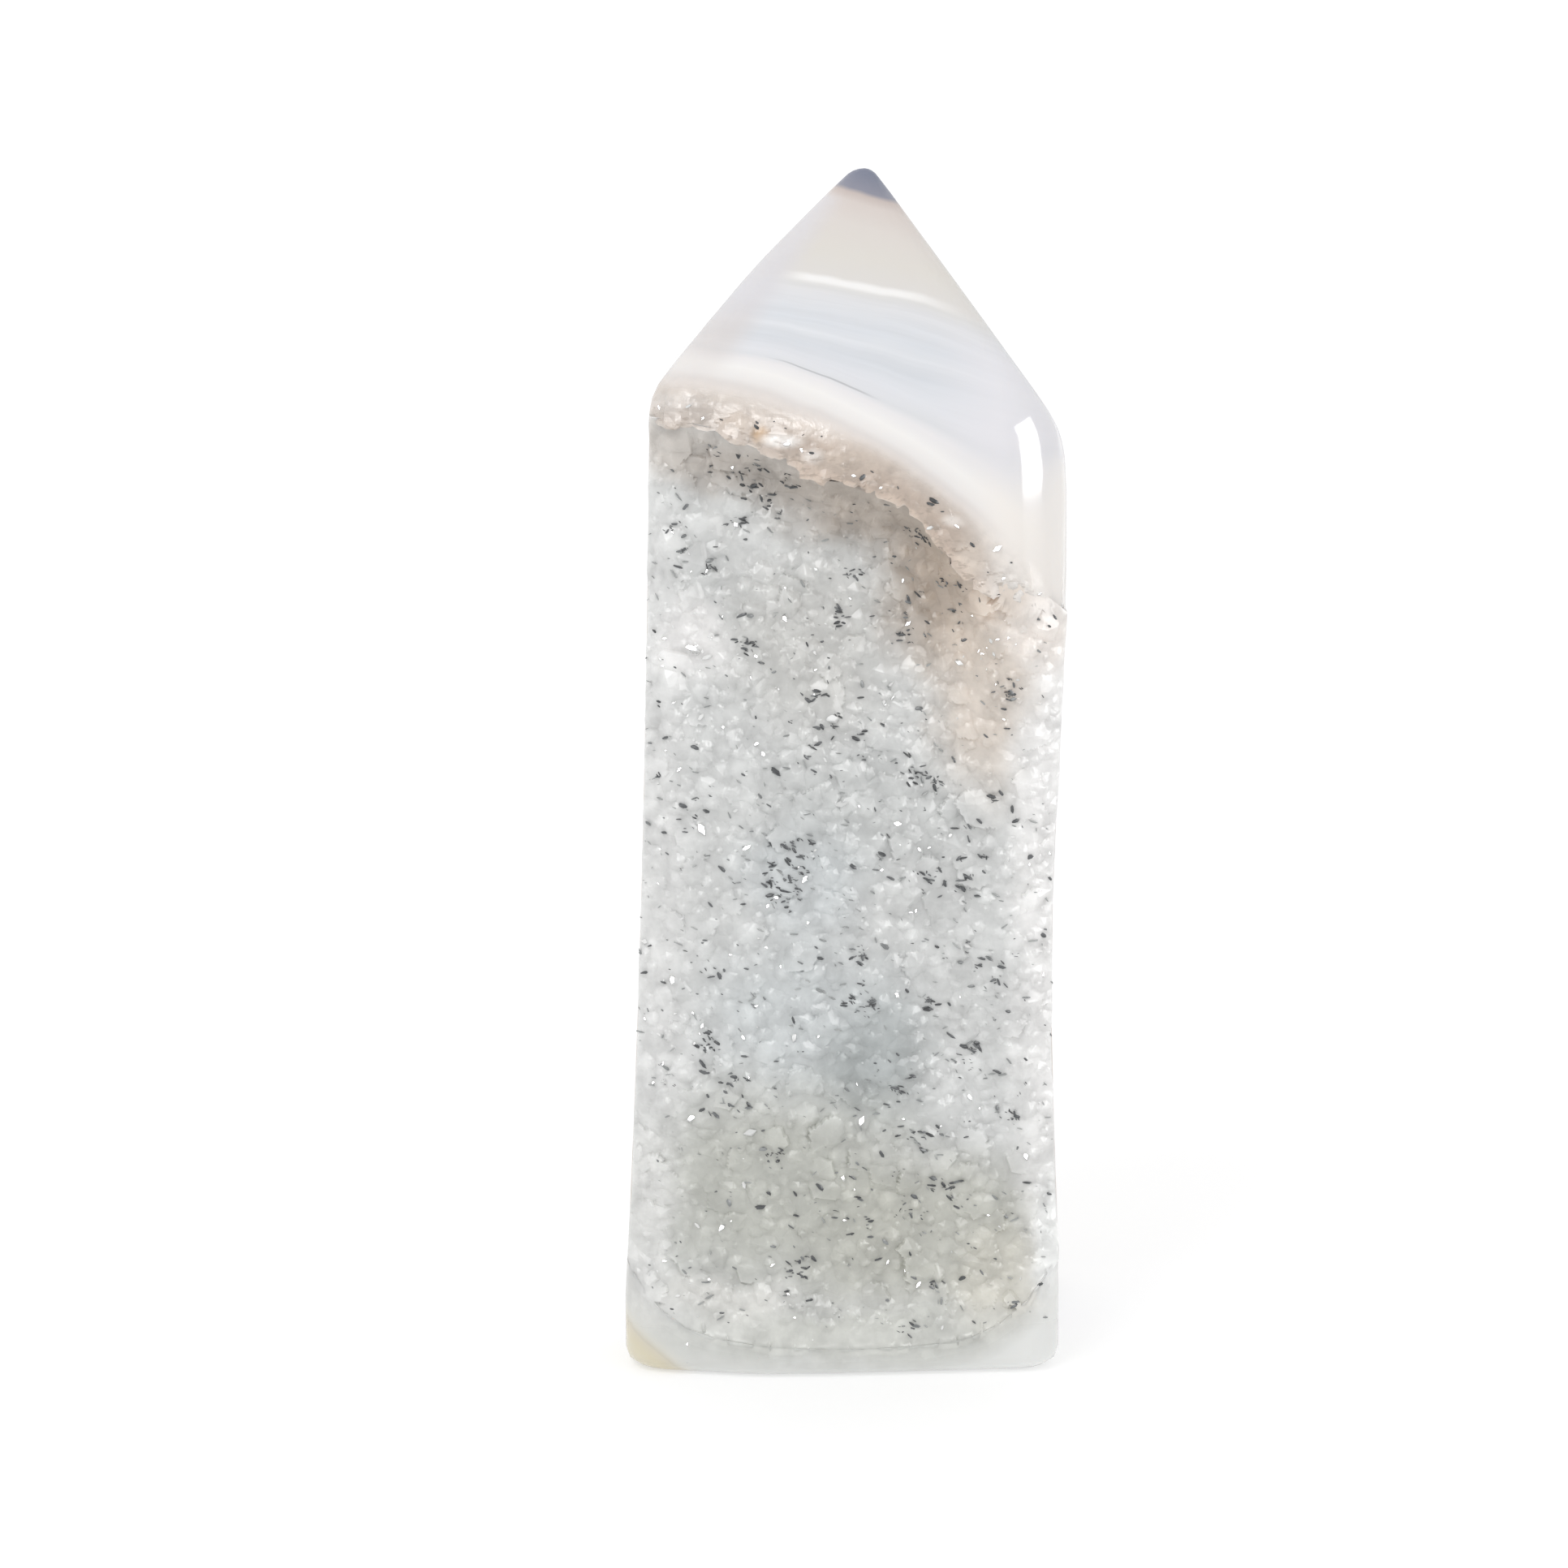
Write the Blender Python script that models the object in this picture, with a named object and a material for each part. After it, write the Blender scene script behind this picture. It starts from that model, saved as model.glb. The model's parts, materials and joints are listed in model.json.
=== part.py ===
# Agate tower: a hand-polished four-sided agate point whose front is one open druzy hollow.
# Metres, +Z up. The origin is on the resting face, under the middle of the stone.
# The druzy front faces -Y, and +X is to the right of someone who looks at that front.

import math
import random

import bmesh
import bpy
from mathutils import Matrix, Vector
from mathutils.geometry import delaunay_2d_cdt

MM = 0.001

# Whole stone
HEIGHT = 100 * MM
BASE_LEFT = -18.45 * MM
BASE_RIGHT = 18.2 * MM
TOP_LEFT = -16.0 * MM
TOP_RIGHT = 18.65 * MM
WAIST_LEFT = 0.45 * MM  # how far the sides draw in, half way up the shaft
WAIST_RIGHT = 0.97 * MM
WIDEST = 6 * MM  # height above which the sides start to draw in
FRONT_CORNER = -13.3 * MM  # the front face at its two upright edges
CREST = -15.3 * MM  # the front face along its faint upright crest
BACK = 15.5 * MM
CREST_X_BASE = -6.2 * MM
CREST_X_TOP = 0.5 * MM

# Rounding left by the polishing
UPRIGHT_EDGE_RADIUS = 2.6 * MM
RIGHT_SHOULDER_RADIUS = 5.8 * MM  # the front right edge, where it is polished above the hollow
POINT_EDGE_RADIUS = 1.7 * MM
BASE_EDGE_RADIUS = 1.5 * MM
TIP_RADIUS = 1.7 * MM
LEFT_SHOULDER_SOFTNESS = 0.9 * MM
RIGHT_SHOULDER_SOFTNESS = 1.9 * MM
FACE_SHOULDER_SOFTNESS = 1.1 * MM

# The point: where its four faces start, and where they would meet if the tip were sharp
TIP_X = 1.72 * MM
TIP_Y = 0.3 * MM
SHARP_TIP = 100.84 * MM
LEFT_SHOULDER = 82.6 * MM
LEFT_KINK = 92.6 * MM  # the left face of the point leans in a little more above this
LEFT_KINK_X = -7.1 * MM
RIGHT_SHOULDER = 79.2 * MM
FRONT_SHOULDER = 80.2 * MM
BACK_SHOULDER = 79.4 * MM
LEFT_LEAN = 1.8 * MM  # how much lower the point's side faces start at the back
RIGHT_LEAN = 3.0 * MM

# The hollow: its upper lip and its lower sill on the front face, as (x, z)
LIP = [(-22, 80.2), (-16, 80.2), (-10.5, 79.2), (-5, 77.0), (0.8, 74.9), (5, 73.2), (8.2, 69.6),
       (11, 66.6), (14, 65.2), (18.4, 63.8), (22, 63.2)]
SILL = [(-22, 12.5), (-18, 9.4), (-15.2, 6.0), (-12, 4.0), (-2.6, 2.9), (7, 3.0), (11.5, 3.9),
        (14.6, 6.0), (16.6, 8.6), (18.4, 10.6), (22, 12.5)]
SHALLOW = 0.9 * MM  # depth of the crystal beds where the hollow is shallow
DEEPEST = 4.4 * MM  # more depth close under the lip
BACKING = 1.5 * MM  # quartz behind the crystal beds
GAP = 0.3 * MM  # between the crust and the stone

# Crystals of the crust
CRYSTAL_PITCH = 1.72 * MM
CRYSTAL_SHORT = 0.4 * MM
CRYSTAL_TALL = 1.1 * MM
RAGGED = 0.12 * MM  # how far the crust's cut edges wander from the polished sides
LATTICE_TURN = math.radians(17)  # so that no row of crystals lies level
BACK_PITCH = 3.4 * MM
SEED = 41


def clear_scene():
    for obj in list(bpy.data.objects):
        bpy.data.objects.remove(obj, do_unlink=True)


def stone_material(name, colour, roughness):
    material = bpy.data.materials.new(name)
    material.use_nodes = True
    shader = material.node_tree.nodes["Principled BSDF"]
    shader.inputs["Base Color"].default_value = (*colour, 1)
    shader.inputs["Roughness"].default_value = roughness
    shader.inputs["Metallic"].default_value = 0
    material.diffuse_color = (*colour, 1)
    return material


def smooth_min(a, b, softness):
    return 0.5 * (a + b - math.sqrt((a - b) ** 2 + softness**2))


def smooth_max(a, b, softness):
    return -smooth_min(-a, -b, softness)


def smooth_step(low, high, value):
    t = min(max((value - low) / (high - low), 0), 1)
    return t * t * (3 - 2 * t)


def along(points, x):
    """Height in metres, at x in metres, of the smooth curve through points in millimetres."""
    at = x / MM
    last = len(points) - 2
    i = max(k for k in range(last + 1) if k == 0 or points[k][0] <= at)

    def slope(k):
        a = points[max(k - 1, 0)]
        b = points[min(k + 1, last + 1)]
        return (b[1] - a[1]) / (b[0] - a[0])

    (x0, z0), (x1, z1) = points[i], points[i + 1]
    span = x1 - x0
    t = min(max((at - x0) / span, 0), 1)
    rise = (2 * t**3 - 3 * t**2 + 1) * z0 + (3 * t**2 - 2 * t**3) * z1
    lean = (t**3 - 2 * t**2 + t) * slope(i) + (t**3 - t**2) * slope(i + 1)
    return (rise + lean * span) * MM


def upright_gap(points, x):
    """The height that leaves the gap square to the curve, which is more where the curve is steep."""
    slope = (along(points, x + GAP) - along(points, x - GAP)) / (2 * GAP)
    return GAP * math.sqrt(1 + slope * slope)


# The stone's outside. Each function gives one side's place at a height.


def shaft_share(z):
    return min(max((z - WIDEST) / (HEIGHT * 0.8 - WIDEST), 0), 1)


def base_inset(z):
    if z >= BASE_EDGE_RADIUS:
        return 0.0
    below = BASE_EDGE_RADIUS - max(z, 0)
    return BASE_EDGE_RADIUS - math.sqrt(max(BASE_EDGE_RADIUS**2 - below**2, 0))


def tip_share(z):
    """Narrows the last of the point into a rounded tip."""
    half_angle = math.atan(0.9)
    centre = HEIGHT - TIP_RADIUS
    if z < centre + TIP_RADIUS * math.sin(half_angle):
        return 1.0
    ball = math.sqrt(max(TIP_RADIUS**2 - (z - centre) ** 2, 0))
    return ball / ((SHARP_TIP - z) * math.tan(half_angle))


def side_left(z):
    t = shaft_share(z)
    shaft = BASE_LEFT + (TOP_LEFT - BASE_LEFT) * t + 4 * WAIST_LEFT * t * (1 - t)
    upper = TIP_X + (LEFT_KINK_X - TIP_X) * (SHARP_TIP - z) / (SHARP_TIP - LEFT_KINK)
    lower = LEFT_KINK_X + (TOP_LEFT - LEFT_KINK_X) * (LEFT_KINK - z) / (LEFT_KINK - LEFT_SHOULDER)
    point = smooth_max(upper, lower, 0.3 * MM)
    return smooth_max(shaft, point, LEFT_SHOULDER_SOFTNESS) + base_inset(z)


def side_right(z):
    t = shaft_share(z)
    low_waist = t**2 * (1 - t) ** 3 / (0.4**2 * 0.6**3)
    shaft = BASE_RIGHT + (TOP_RIGHT - BASE_RIGHT) * t - WAIST_RIGHT * low_waist
    point = TIP_X + (TOP_RIGHT - TIP_X) * (SHARP_TIP - z) / (SHARP_TIP - RIGHT_SHOULDER)
    return smooth_min(shaft, point, RIGHT_SHOULDER_SOFTNESS) - base_inset(z)


def lean_share(z):
    """How far up the point's lean counts: none on the shaft, and none at the tip."""
    return smooth_step(60 * MM, 76 * MM, z) * min((SHARP_TIP - z) / (SHARP_TIP - 77 * MM), 1)


def face_front(z):
    point = TIP_Y + (FRONT_CORNER - TIP_Y) * (SHARP_TIP - z) / (SHARP_TIP - FRONT_SHOULDER)
    return smooth_max(FRONT_CORNER, point, FACE_SHOULDER_SOFTNESS) + base_inset(z)


def face_back(z):
    point = TIP_Y + (BACK - TIP_Y) * (SHARP_TIP - z) / (SHARP_TIP - BACK_SHOULDER)
    return smooth_min(BACK, point, FACE_SHOULDER_SOFTNESS) - base_inset(z)


def crest_x(z):
    t = min(max(z / FRONT_SHOULDER, 0), 1)
    crest = CREST_X_BASE + (CREST_X_TOP - CREST_X_BASE) * t
    return min(max(crest, side_left(z) + 1 * MM), side_right(z) - 1 * MM)


def crest_rise(x, z):
    """How far the front face stands forward of its corners, at a faint upright crest."""
    left, right = side_left(z), side_right(z)
    crest = crest_x(z)
    away = (x - crest) / (crest - left if x < crest else right - crest)
    tent = 1 - math.sqrt(away * away + 0.02) + math.sqrt(0.02)
    fade = 1 - smooth_step(FRONT_SHOULDER - 10 * MM, HEIGHT, z)
    return (FRONT_CORNER - CREST) * max(tent, 0) * fade


def front_surface(x, z):
    return face_front(z) - crest_rise(x, z)


def edge_radii(z):
    """Radii of the four upright edges at a height: front left, front right, back right, back left."""
    right = (RIGHT_SHOULDER_RADIUS - UPRIGHT_EDGE_RADIUS) * smooth_step(61 * MM, 71 * MM, z)
    up = smooth_step(77 * MM, 86 * MM, z)
    plain = (UPRIGHT_EDGE_RADIUS, UPRIGHT_EDGE_RADIUS + right, UPRIGHT_EDGE_RADIUS, UPRIGHT_EDGE_RADIUS)
    return [radius + (POINT_EDGE_RADIUS - radius) * up for radius in plain]


def ring(z):
    """One level outline of the stone, counter-clockwise from above, with rounded corners."""
    share = tip_share(z)
    left = TIP_X + (side_left(z) - TIP_X) * share
    right = TIP_X + (side_right(z) - TIP_X) * share
    front = TIP_Y + (face_front(z) - TIP_Y) * share
    back = TIP_Y + (face_back(z) - TIP_Y) * share
    back_left = TIP_X + (side_left(z + LEFT_LEAN * lean_share(z)) - TIP_X) * share
    back_right = TIP_X + (side_right(z + RIGHT_LEAN * lean_share(z)) - TIP_X) * share
    most = 0.49 * min(back_right - back_left, right - left, back - front)
    radii = [min(radius, most) for radius in edge_radii(z)]
    outside = [(left, front, 1, 1), (right, front, -1, 1), (back_right, back, -1, -1), (back_left, back, 1, -1)]
    corners = [(x + inward * r, y + deeper * r, r) for (x, y, inward, deeper), r in zip(outside, radii)]
    crest = TIP_X + (crest_x(z) - TIP_X) * share
    points = []
    for corner, pieces in enumerate((8, 4, 5, 4)):
        x, y, radius = corners[corner]
        arc = [math.radians(180 + 90 * (corner + k / 4)) for k in range(5)]
        points += [(x + radius * math.cos(a), y + radius * math.sin(a)) for a in arc]
        following_x, following_y, following_radius = corners[(corner + 1) % 4]
        end = (following_x + following_radius * math.cos(arc[-1]),
               following_y + following_radius * math.sin(arc[-1]))
        begin = points.pop()
        stops = [begin, end]
        if corner == 0:
            stops.insert(1, (min(max(crest, begin[0]), end[0]), begin[1]))
        for start, stop in zip(stops, stops[1:]):
            steps = pieces // (len(stops) - 1)
            for k in range(steps):
                t = k / steps
                points.append((start[0] + (stop[0] - start[0]) * t, start[1] + (stop[1] - start[1]) * t))
    risen = []
    for x, y in points:
        forward = (back - y) / (back - front)
        risen.append(Vector((x, y - crest_rise(x, z) * share * smooth_step(0.8, 1, forward), z)))
    return risen


def ring_heights():
    base = [BASE_EDGE_RADIUS * (1 - math.cos(math.radians(a))) for a in (0, 30, 60, 90)]
    shaft = [z * MM for z in (6, 12, 20, 30, 40, 50, 60, 68, 74)]
    shoulder = [z * MM for z in (77, 78.4, 79.4, 80.2, 81, 82, 83.2, 85)]
    point = [z * MM for z in (88, 91, 93, 96, 98, 99.2)]
    tip = [HEIGHT - TIP_RADIUS * (1 - math.cos(math.radians(a))) for a in (42, 28, 14)]
    return base + shaft + shoulder + point + tip


def build_stone():
    mesh = bmesh.new()
    loops = [[mesh.verts.new(p) for p in ring(z)] for z in ring_heights()]
    mesh.faces.new(list(reversed(loops[0])))
    for lower, upper in zip(loops, loops[1:]):
        for k in range(len(lower)):
            after = (k + 1) % len(lower)
            mesh.faces.new((lower[k], lower[after], upper[after], upper[k]))
    tip = mesh.verts.new((TIP_X, TIP_Y, HEIGHT))
    top = loops[-1]
    for k in range(len(top)):
        mesh.faces.new((top[k], top[(k + 1) % len(top)], tip))
    bmesh.ops.recalc_face_normals(mesh, faces=mesh.faces)
    data = bpy.data.meshes.new("agate_tower")
    mesh.to_mesh(data)
    mesh.free()
    stone = bpy.data.objects.new("agate_tower", data)
    bpy.context.scene.collection.objects.link(stone)
    data.shade_smooth()
    data.set_sharp_from_angle(angle=math.radians(35))
    return stone


# The hollow. Depths are measured back from the front face.


def hollow_reach(x, z):
    """How much of the deepest part of the hollow there is at this place, from 0 to 1."""
    below = along(LIP, x) - z
    fade = math.exp(-((max(below, 0) / (19 * MM)) ** 2))
    left = 0.3 + 0.7 * smooth_step(-16 * MM, -7 * MM, x)
    right = 1 - smooth_step(7 * MM, 15 * MM, x)
    return fade * left * right


def bed_depth(x, z):
    """The lie of the crystal beds: folds, a valley and a basin above the sill."""
    fold_x = -10 * MM + (73 * MM - z) * 0.325
    fold = math.exp(-(((x - fold_x) / (2.2 * MM)) ** 2)) * smooth_step(16 * MM, 26 * MM, z)
    valley = math.exp(-(((x - fold_x - 4.5 * MM) / (3.2 * MM)) ** 2 + ((z - 29 * MM) / (9 * MM)) ** 2))
    above_sill = z - along(SILL, x)
    basin = smooth_step(0.5 * MM, 5 * MM, above_sill) * (1 - smooth_step(12 * MM, 24 * MM, z))
    return SHALLOW - 0.45 * MM * fold + 1.0 * MM * valley + 1.1 * MM * basin


def crust_depth(x, z):
    left, right = side_left(z), side_right(z)
    below = along(LIP, x) - z
    wall = smooth_step(-0.2 * MM, 2.4 * MM, below)
    sill = smooth_step(-0.2 * MM, 1.6 * MM, z - along(SILL, x))
    depth = 0.25 * MM + (bed_depth(x, z) - 0.25 * MM + DEEPEST * hollow_reach(x, z)) * wall * sill
    edge = min(x - left, right - x)
    return depth + 0.9 * MM * (1 - smooth_step(0, 2.2 * MM, edge))


def back_depth(x, z):
    return SHALLOW + BACKING + 0.9 * MM + (DEEPEST + 0.2 * MM) * hollow_reach(x, z)


def crust_outline():
    """The crust's border as (x, z), up the left side, along the lip, down the right, back along the sill."""
    left_sill, left_lip = along(SILL, BASE_LEFT), along(LIP, TOP_LEFT)
    right_lip, right_sill = along(LIP, TOP_RIGHT), along(SILL, BASE_RIGHT)

    def spread(a, b):
        steps = max(round(abs(b - a) / CRYSTAL_PITCH), 2)
        return [a + (b - a) * k / steps for k in range(steps)]

    left_x, right_x = side_left(left_sill), side_right(right_sill)
    outline = [(side_left(z) + random.uniform(0, RAGGED), z) for z in spread(left_sill, left_lip)]
    outline += [(x, along(LIP, x)) for x in spread(side_left(left_lip), side_right(right_lip))]
    outline += [(side_right(z) - random.uniform(0, RAGGED), z) for z in spread(right_lip, right_sill)]
    outline += [(x, along(SILL, x)) for x in spread(right_x, left_x)]
    return outline


def inside_border(x, z, margin):
    clear_sides = side_left(z) + margin < x < side_right(z) - margin
    return clear_sides and along(SILL, x) + margin < z < along(LIP, x) - 1.25 * margin


def crystal_places():
    """Tips and the low points between them: a honeycomb whose every point is moved a little."""
    tips, lows = [], []
    row_step = CRYSTAL_PITCH * math.sqrt(3) / 2
    reach = CRYSTAL_PITCH / math.sqrt(3)
    stray = 0.2 * CRYSTAL_PITCH
    turn = Matrix.Rotation(LATTICE_TURN, 2)

    def moved(x, z):
        x, z = turn @ Vector((x, z))
        return x + random.uniform(-stray, stray), HEIGHT / 2 + z + random.uniform(-stray, stray)

    for row in range(-40, 41):
        for column in range(-30, 31):
            x, z = (column + 0.5 * (row % 2)) * CRYSTAL_PITCH, row * row_step
            tip = moved(x, z)
            if inside_border(*tip, 0.62 * MM):
                tips.append(tip)
            for angle in (math.radians(30), math.radians(90)):
                low = moved(x + reach * math.cos(angle), z + reach * math.sin(angle))
                if inside_border(*low, 0.5 * MM):
                    lows.append(low)
    return tips, lows


def flat_mesh(outline, inner):
    """Triangles over the outline and the points inside it, as (points, faces)."""
    flat = [Vector(p) for p in outline + inner]
    count = len(outline)
    border = [(k, (k + 1) % count) for k in range(count)]
    points, _, faces, origins, _, _ = delaunay_2d_cdt(flat, border, [], 1, 1e-7)
    order = [group[0] for group in origins]
    return points, faces, order


def build_crust():
    outline = crust_outline()
    tips, lows = crystal_places()
    heights = {}
    for k in range(len(tips)):
        tall = random.random() ** 1.6
        heights[len(outline) + k] = CRYSTAL_SHORT + (CRYSTAL_TALL - CRYSTAL_SHORT) * tall
    mesh = bmesh.new()

    points, faces, order = flat_mesh(outline, tips + lows)
    front_of = {}
    for k, (x, z) in enumerate(points):
        front = front_surface(x, z)
        y = max(front + crust_depth(x, z) - heights.get(order[k], 0), front + 0.1 * MM)
        front_of[k] = mesh.verts.new((x, y, z))
    for face in faces:
        mesh.faces.new([front_of[k] for k in face])
    front_border = {order[k]: vert for k, vert in front_of.items() if order[k] < len(outline)}

    steps = [(k * BACK_PITCH, j * BACK_PITCH) for k in range(-6, 7) for j in range(1, 30)]
    inner = [place for place in steps if inside_border(*place, 1.2 * MM)]
    points, faces, order = flat_mesh(outline, inner)
    back_of = {}
    for k, (x, z) in enumerate(points):
        back_of[k] = mesh.verts.new((x, front_surface(x, z) + back_depth(x, z), z))
    for face in faces:
        mesh.faces.new([back_of[k] for k in reversed(face)])
    back_border = {order[k]: vert for k, vert in back_of.items() if order[k] < len(outline)}

    count = len(outline)
    for k in range(count):
        after = (k + 1) % count
        mesh.faces.new((front_border[after], front_border[k], back_border[k], back_border[after]))
    bmesh.ops.recalc_face_normals(mesh, faces=mesh.faces)
    data = bpy.data.meshes.new("druzy_crust")
    mesh.to_mesh(data)
    mesh.free()
    crust = bpy.data.objects.new("druzy_crust", data)
    bpy.context.scene.collection.objects.link(crust)
    return crust


def build_hollow_cutter():
    """What is taken out of the stone: the crust's place with its gap, open at the front and both sides."""
    columns = [k * 2.2 * MM for k in range(-10, 11)]
    rows = 26
    ahead = -30 * MM
    mesh = bmesh.new()
    floor, cover = [], []
    for x in columns:
        low = along(SILL, x) - upright_gap(SILL, x)
        high = along(LIP, x) + upright_gap(LIP, x)
        floor_line, cover_line = [], []
        for j in range(rows + 1):
            z = low + (high - low) * j / rows
            inner_x = min(max(x, side_left(z)), side_right(z))
            y = front_surface(inner_x, z) + back_depth(inner_x, z) + GAP
            floor_line.append(mesh.verts.new((x, y, z)))
            cover_line.append(mesh.verts.new((x, ahead, z)))
        floor.append(floor_line)
        cover.append(cover_line)
    for i in range(len(columns) - 1):
        for j in range(rows):
            mesh.faces.new((floor[i][j], floor[i + 1][j], floor[i + 1][j + 1], floor[i][j + 1]))
            mesh.faces.new((cover[i][j], cover[i][j + 1], cover[i + 1][j + 1], cover[i + 1][j]))
        for j in (0, rows):
            mesh.faces.new((floor[i][j], cover[i][j], cover[i + 1][j], floor[i + 1][j]))
    for i in (0, len(columns) - 1):
        for j in range(rows):
            mesh.faces.new((floor[i][j], floor[i][j + 1], cover[i][j + 1], cover[i][j]))
    bmesh.ops.recalc_face_normals(mesh, faces=mesh.faces)
    data = bpy.data.meshes.new("hollow_cutter")
    mesh.to_mesh(data)
    mesh.free()
    cutter = bpy.data.objects.new("hollow_cutter", data)
    bpy.context.scene.collection.objects.link(cutter)
    cutter.hide_render = True
    cutter.display_type = "WIRE"
    return cutter


def main():
    random.seed(SEED)
    clear_scene()
    stone = build_stone()
    stone.data.materials.append(stone_material("polished agate", (0.76, 0.75, 0.76), 0.16))
    cut = stone.modifiers.new("hollow", "BOOLEAN")
    cut.operation = "DIFFERENCE"
    cut.solver = "EXACT"
    cut.object = build_hollow_cutter()
    crust = build_crust()
    crust.data.materials.append(stone_material("druzy quartz", (0.6, 0.6, 0.58), 0.3))


main()
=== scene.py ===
import json
import math
import random

import bpy
import numpy as np
from mathutils import Matrix, Vector
from mathutils.bvhtree import BVHTree

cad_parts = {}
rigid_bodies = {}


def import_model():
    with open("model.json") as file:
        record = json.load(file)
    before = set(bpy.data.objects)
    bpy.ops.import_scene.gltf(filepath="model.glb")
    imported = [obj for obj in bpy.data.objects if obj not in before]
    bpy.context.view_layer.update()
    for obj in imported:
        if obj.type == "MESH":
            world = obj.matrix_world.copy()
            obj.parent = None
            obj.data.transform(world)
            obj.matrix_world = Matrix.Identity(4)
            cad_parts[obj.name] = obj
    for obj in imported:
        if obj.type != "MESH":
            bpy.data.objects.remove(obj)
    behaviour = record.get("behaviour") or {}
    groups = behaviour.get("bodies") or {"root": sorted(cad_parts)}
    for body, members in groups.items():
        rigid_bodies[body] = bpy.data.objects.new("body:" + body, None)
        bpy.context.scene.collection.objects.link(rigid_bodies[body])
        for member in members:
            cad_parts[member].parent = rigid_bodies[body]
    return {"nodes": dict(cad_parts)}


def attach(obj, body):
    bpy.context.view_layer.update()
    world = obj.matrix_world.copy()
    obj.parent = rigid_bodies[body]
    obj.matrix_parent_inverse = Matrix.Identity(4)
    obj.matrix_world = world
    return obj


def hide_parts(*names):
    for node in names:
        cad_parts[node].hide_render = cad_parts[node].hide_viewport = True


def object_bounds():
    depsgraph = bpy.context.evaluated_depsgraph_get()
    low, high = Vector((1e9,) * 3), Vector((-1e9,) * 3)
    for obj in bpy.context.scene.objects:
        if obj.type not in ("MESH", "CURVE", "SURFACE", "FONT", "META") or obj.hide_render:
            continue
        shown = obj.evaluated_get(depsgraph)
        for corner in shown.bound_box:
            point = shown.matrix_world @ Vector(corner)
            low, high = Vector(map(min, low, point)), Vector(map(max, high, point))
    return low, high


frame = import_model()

mm = 0.001
cadLow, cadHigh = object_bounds()
creaseAngle = math.radians(38)  # a fold sharper than this keeps its edge
quartzIndex = 1.54  # how strongly quartz bends light
white = (1, 1, 1, 1)
random.seed(7)


def linearColour(code):
    # "#rrggbb" as painted in sRGB, to the linear values that shaders use
    channels = [int(code[k:k + 2], 16) / 255 for k in (1, 3, 5)]
    return [c / 12.92 if c <= 0.04045 else ((c + 0.055) / 1.055) ** 2.4 for c in channels] + [1]


def setAll(thing, settings):
    for name, value in settings.items():
        setattr(thing, name, value)


def setMode(mode):
    bpy.ops.object.mode_set(mode=mode)


def clearSelection():
    if bpy.context.object and bpy.context.object.mode != "OBJECT":
        setMode("OBJECT")
    bpy.ops.object.select_all(action="DESELECT")


def pick(piece):
    clearSelection()
    piece.select_set(True)
    bpy.context.view_layer.objects.active = piece


def editChosen(piece, kind, chosen):
    # opens the piece in edit mode with only those of its edges or faces selected that chosen names
    pick(piece)
    setMode("EDIT")
    bpy.ops.mesh.select_mode(type=kind)
    bpy.ops.mesh.select_all(action="DESELECT")
    setMode("OBJECT")
    (piece.data.edges if kind == "EDGE" else piece.data.polygons).foreach_set("select", chosen)
    setMode("EDIT")


def editFaces(piece, wanted):
    editChosen(piece, "FACE", [wanted(face) for face in piece.data.polygons])


def placesOf(piece):
    return np.array([v.co for v in piece.data.vertices]) / mm


def moveTo(piece, places):
    piece.data.vertices.foreach_set("co", (places * mm).ravel())
    piece.data.update()


def keepValues(piece, **values):
    # one number at each vertex, which the materials read by its name
    for name, value in values.items():
        piece.data.attributes.new(name, "FLOAT", "POINT").data.foreach_set("value", value)


def mergedCopy(node, name, weld=0.004):
    # a CAD node's mesh is loose triangles, so the copy is welded, within weld mm, before it is worked on
    piece = frame["nodes"][node].copy()
    piece.data = piece.data.copy()
    piece.name = piece.data.name = name
    for key in list(piece.keys()):
        del piece[key]
    piece.parent = None
    bpy.context.scene.collection.objects.link(piece)
    piece.data.materials.clear()
    pick(piece)
    if piece.data.has_custom_normals:
        bpy.ops.mesh.customdata_custom_splitnormals_clear()
    setMode("EDIT")
    bpy.ops.mesh.select_all(action="SELECT")
    bpy.ops.mesh.remove_doubles(threshold=weld * mm)
    setMode("OBJECT")
    return piece


def feed(tree, node, inputs):
    # gives each input its value, or a link where the value is another node's output
    for socket, value in inputs.items() if isinstance(inputs, dict) else enumerate(inputs):
        if isinstance(value, bpy.types.NodeSocket):
            tree.links.new(value, node.inputs[socket])
        else:
            node.inputs[socket].default_value = value


def addNode(tree, kind, inputs=(), give=0, **settings):
    # adds a node with its settings and inputs, and gives one of its outputs
    made = tree.nodes.new("ShaderNode" + kind)
    setAll(made, settings)
    feed(tree, made, inputs)
    return made.outputs[give]


def newMaterial(name):
    material = bpy.data.materials.new(name)
    material.use_nodes = True
    tree = material.node_tree
    return material, tree, tree.nodes["Principled BSDF"]


def rampOf(tree, share, stops):
    # stops are (place from 0 to 1, colour code)
    ramp = addNode(tree, "ValToRGB", [share])
    elements = ramp.node.color_ramp.elements
    while len(elements) > 1:
        elements.remove(elements[-1])
    elements[0].position = stops[0][0]
    elements[0].color = linearColour(stops[0][1])
    for place, code in stops[1:]:
        elements.new(place).color = linearColour(code)
    return ramp


# camera, light and floor

view = {
    "elevation": 12, "distance": 420 * mm, "aim": (0, 0, 50 * mm),
    "lens": {"lens": 113.58, "sensor_width": 36, "shift_x": -0.0380, "shift_y": -0.0159,
             "clip_start": 10 * mm, "clip_end": 20},
}


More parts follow.
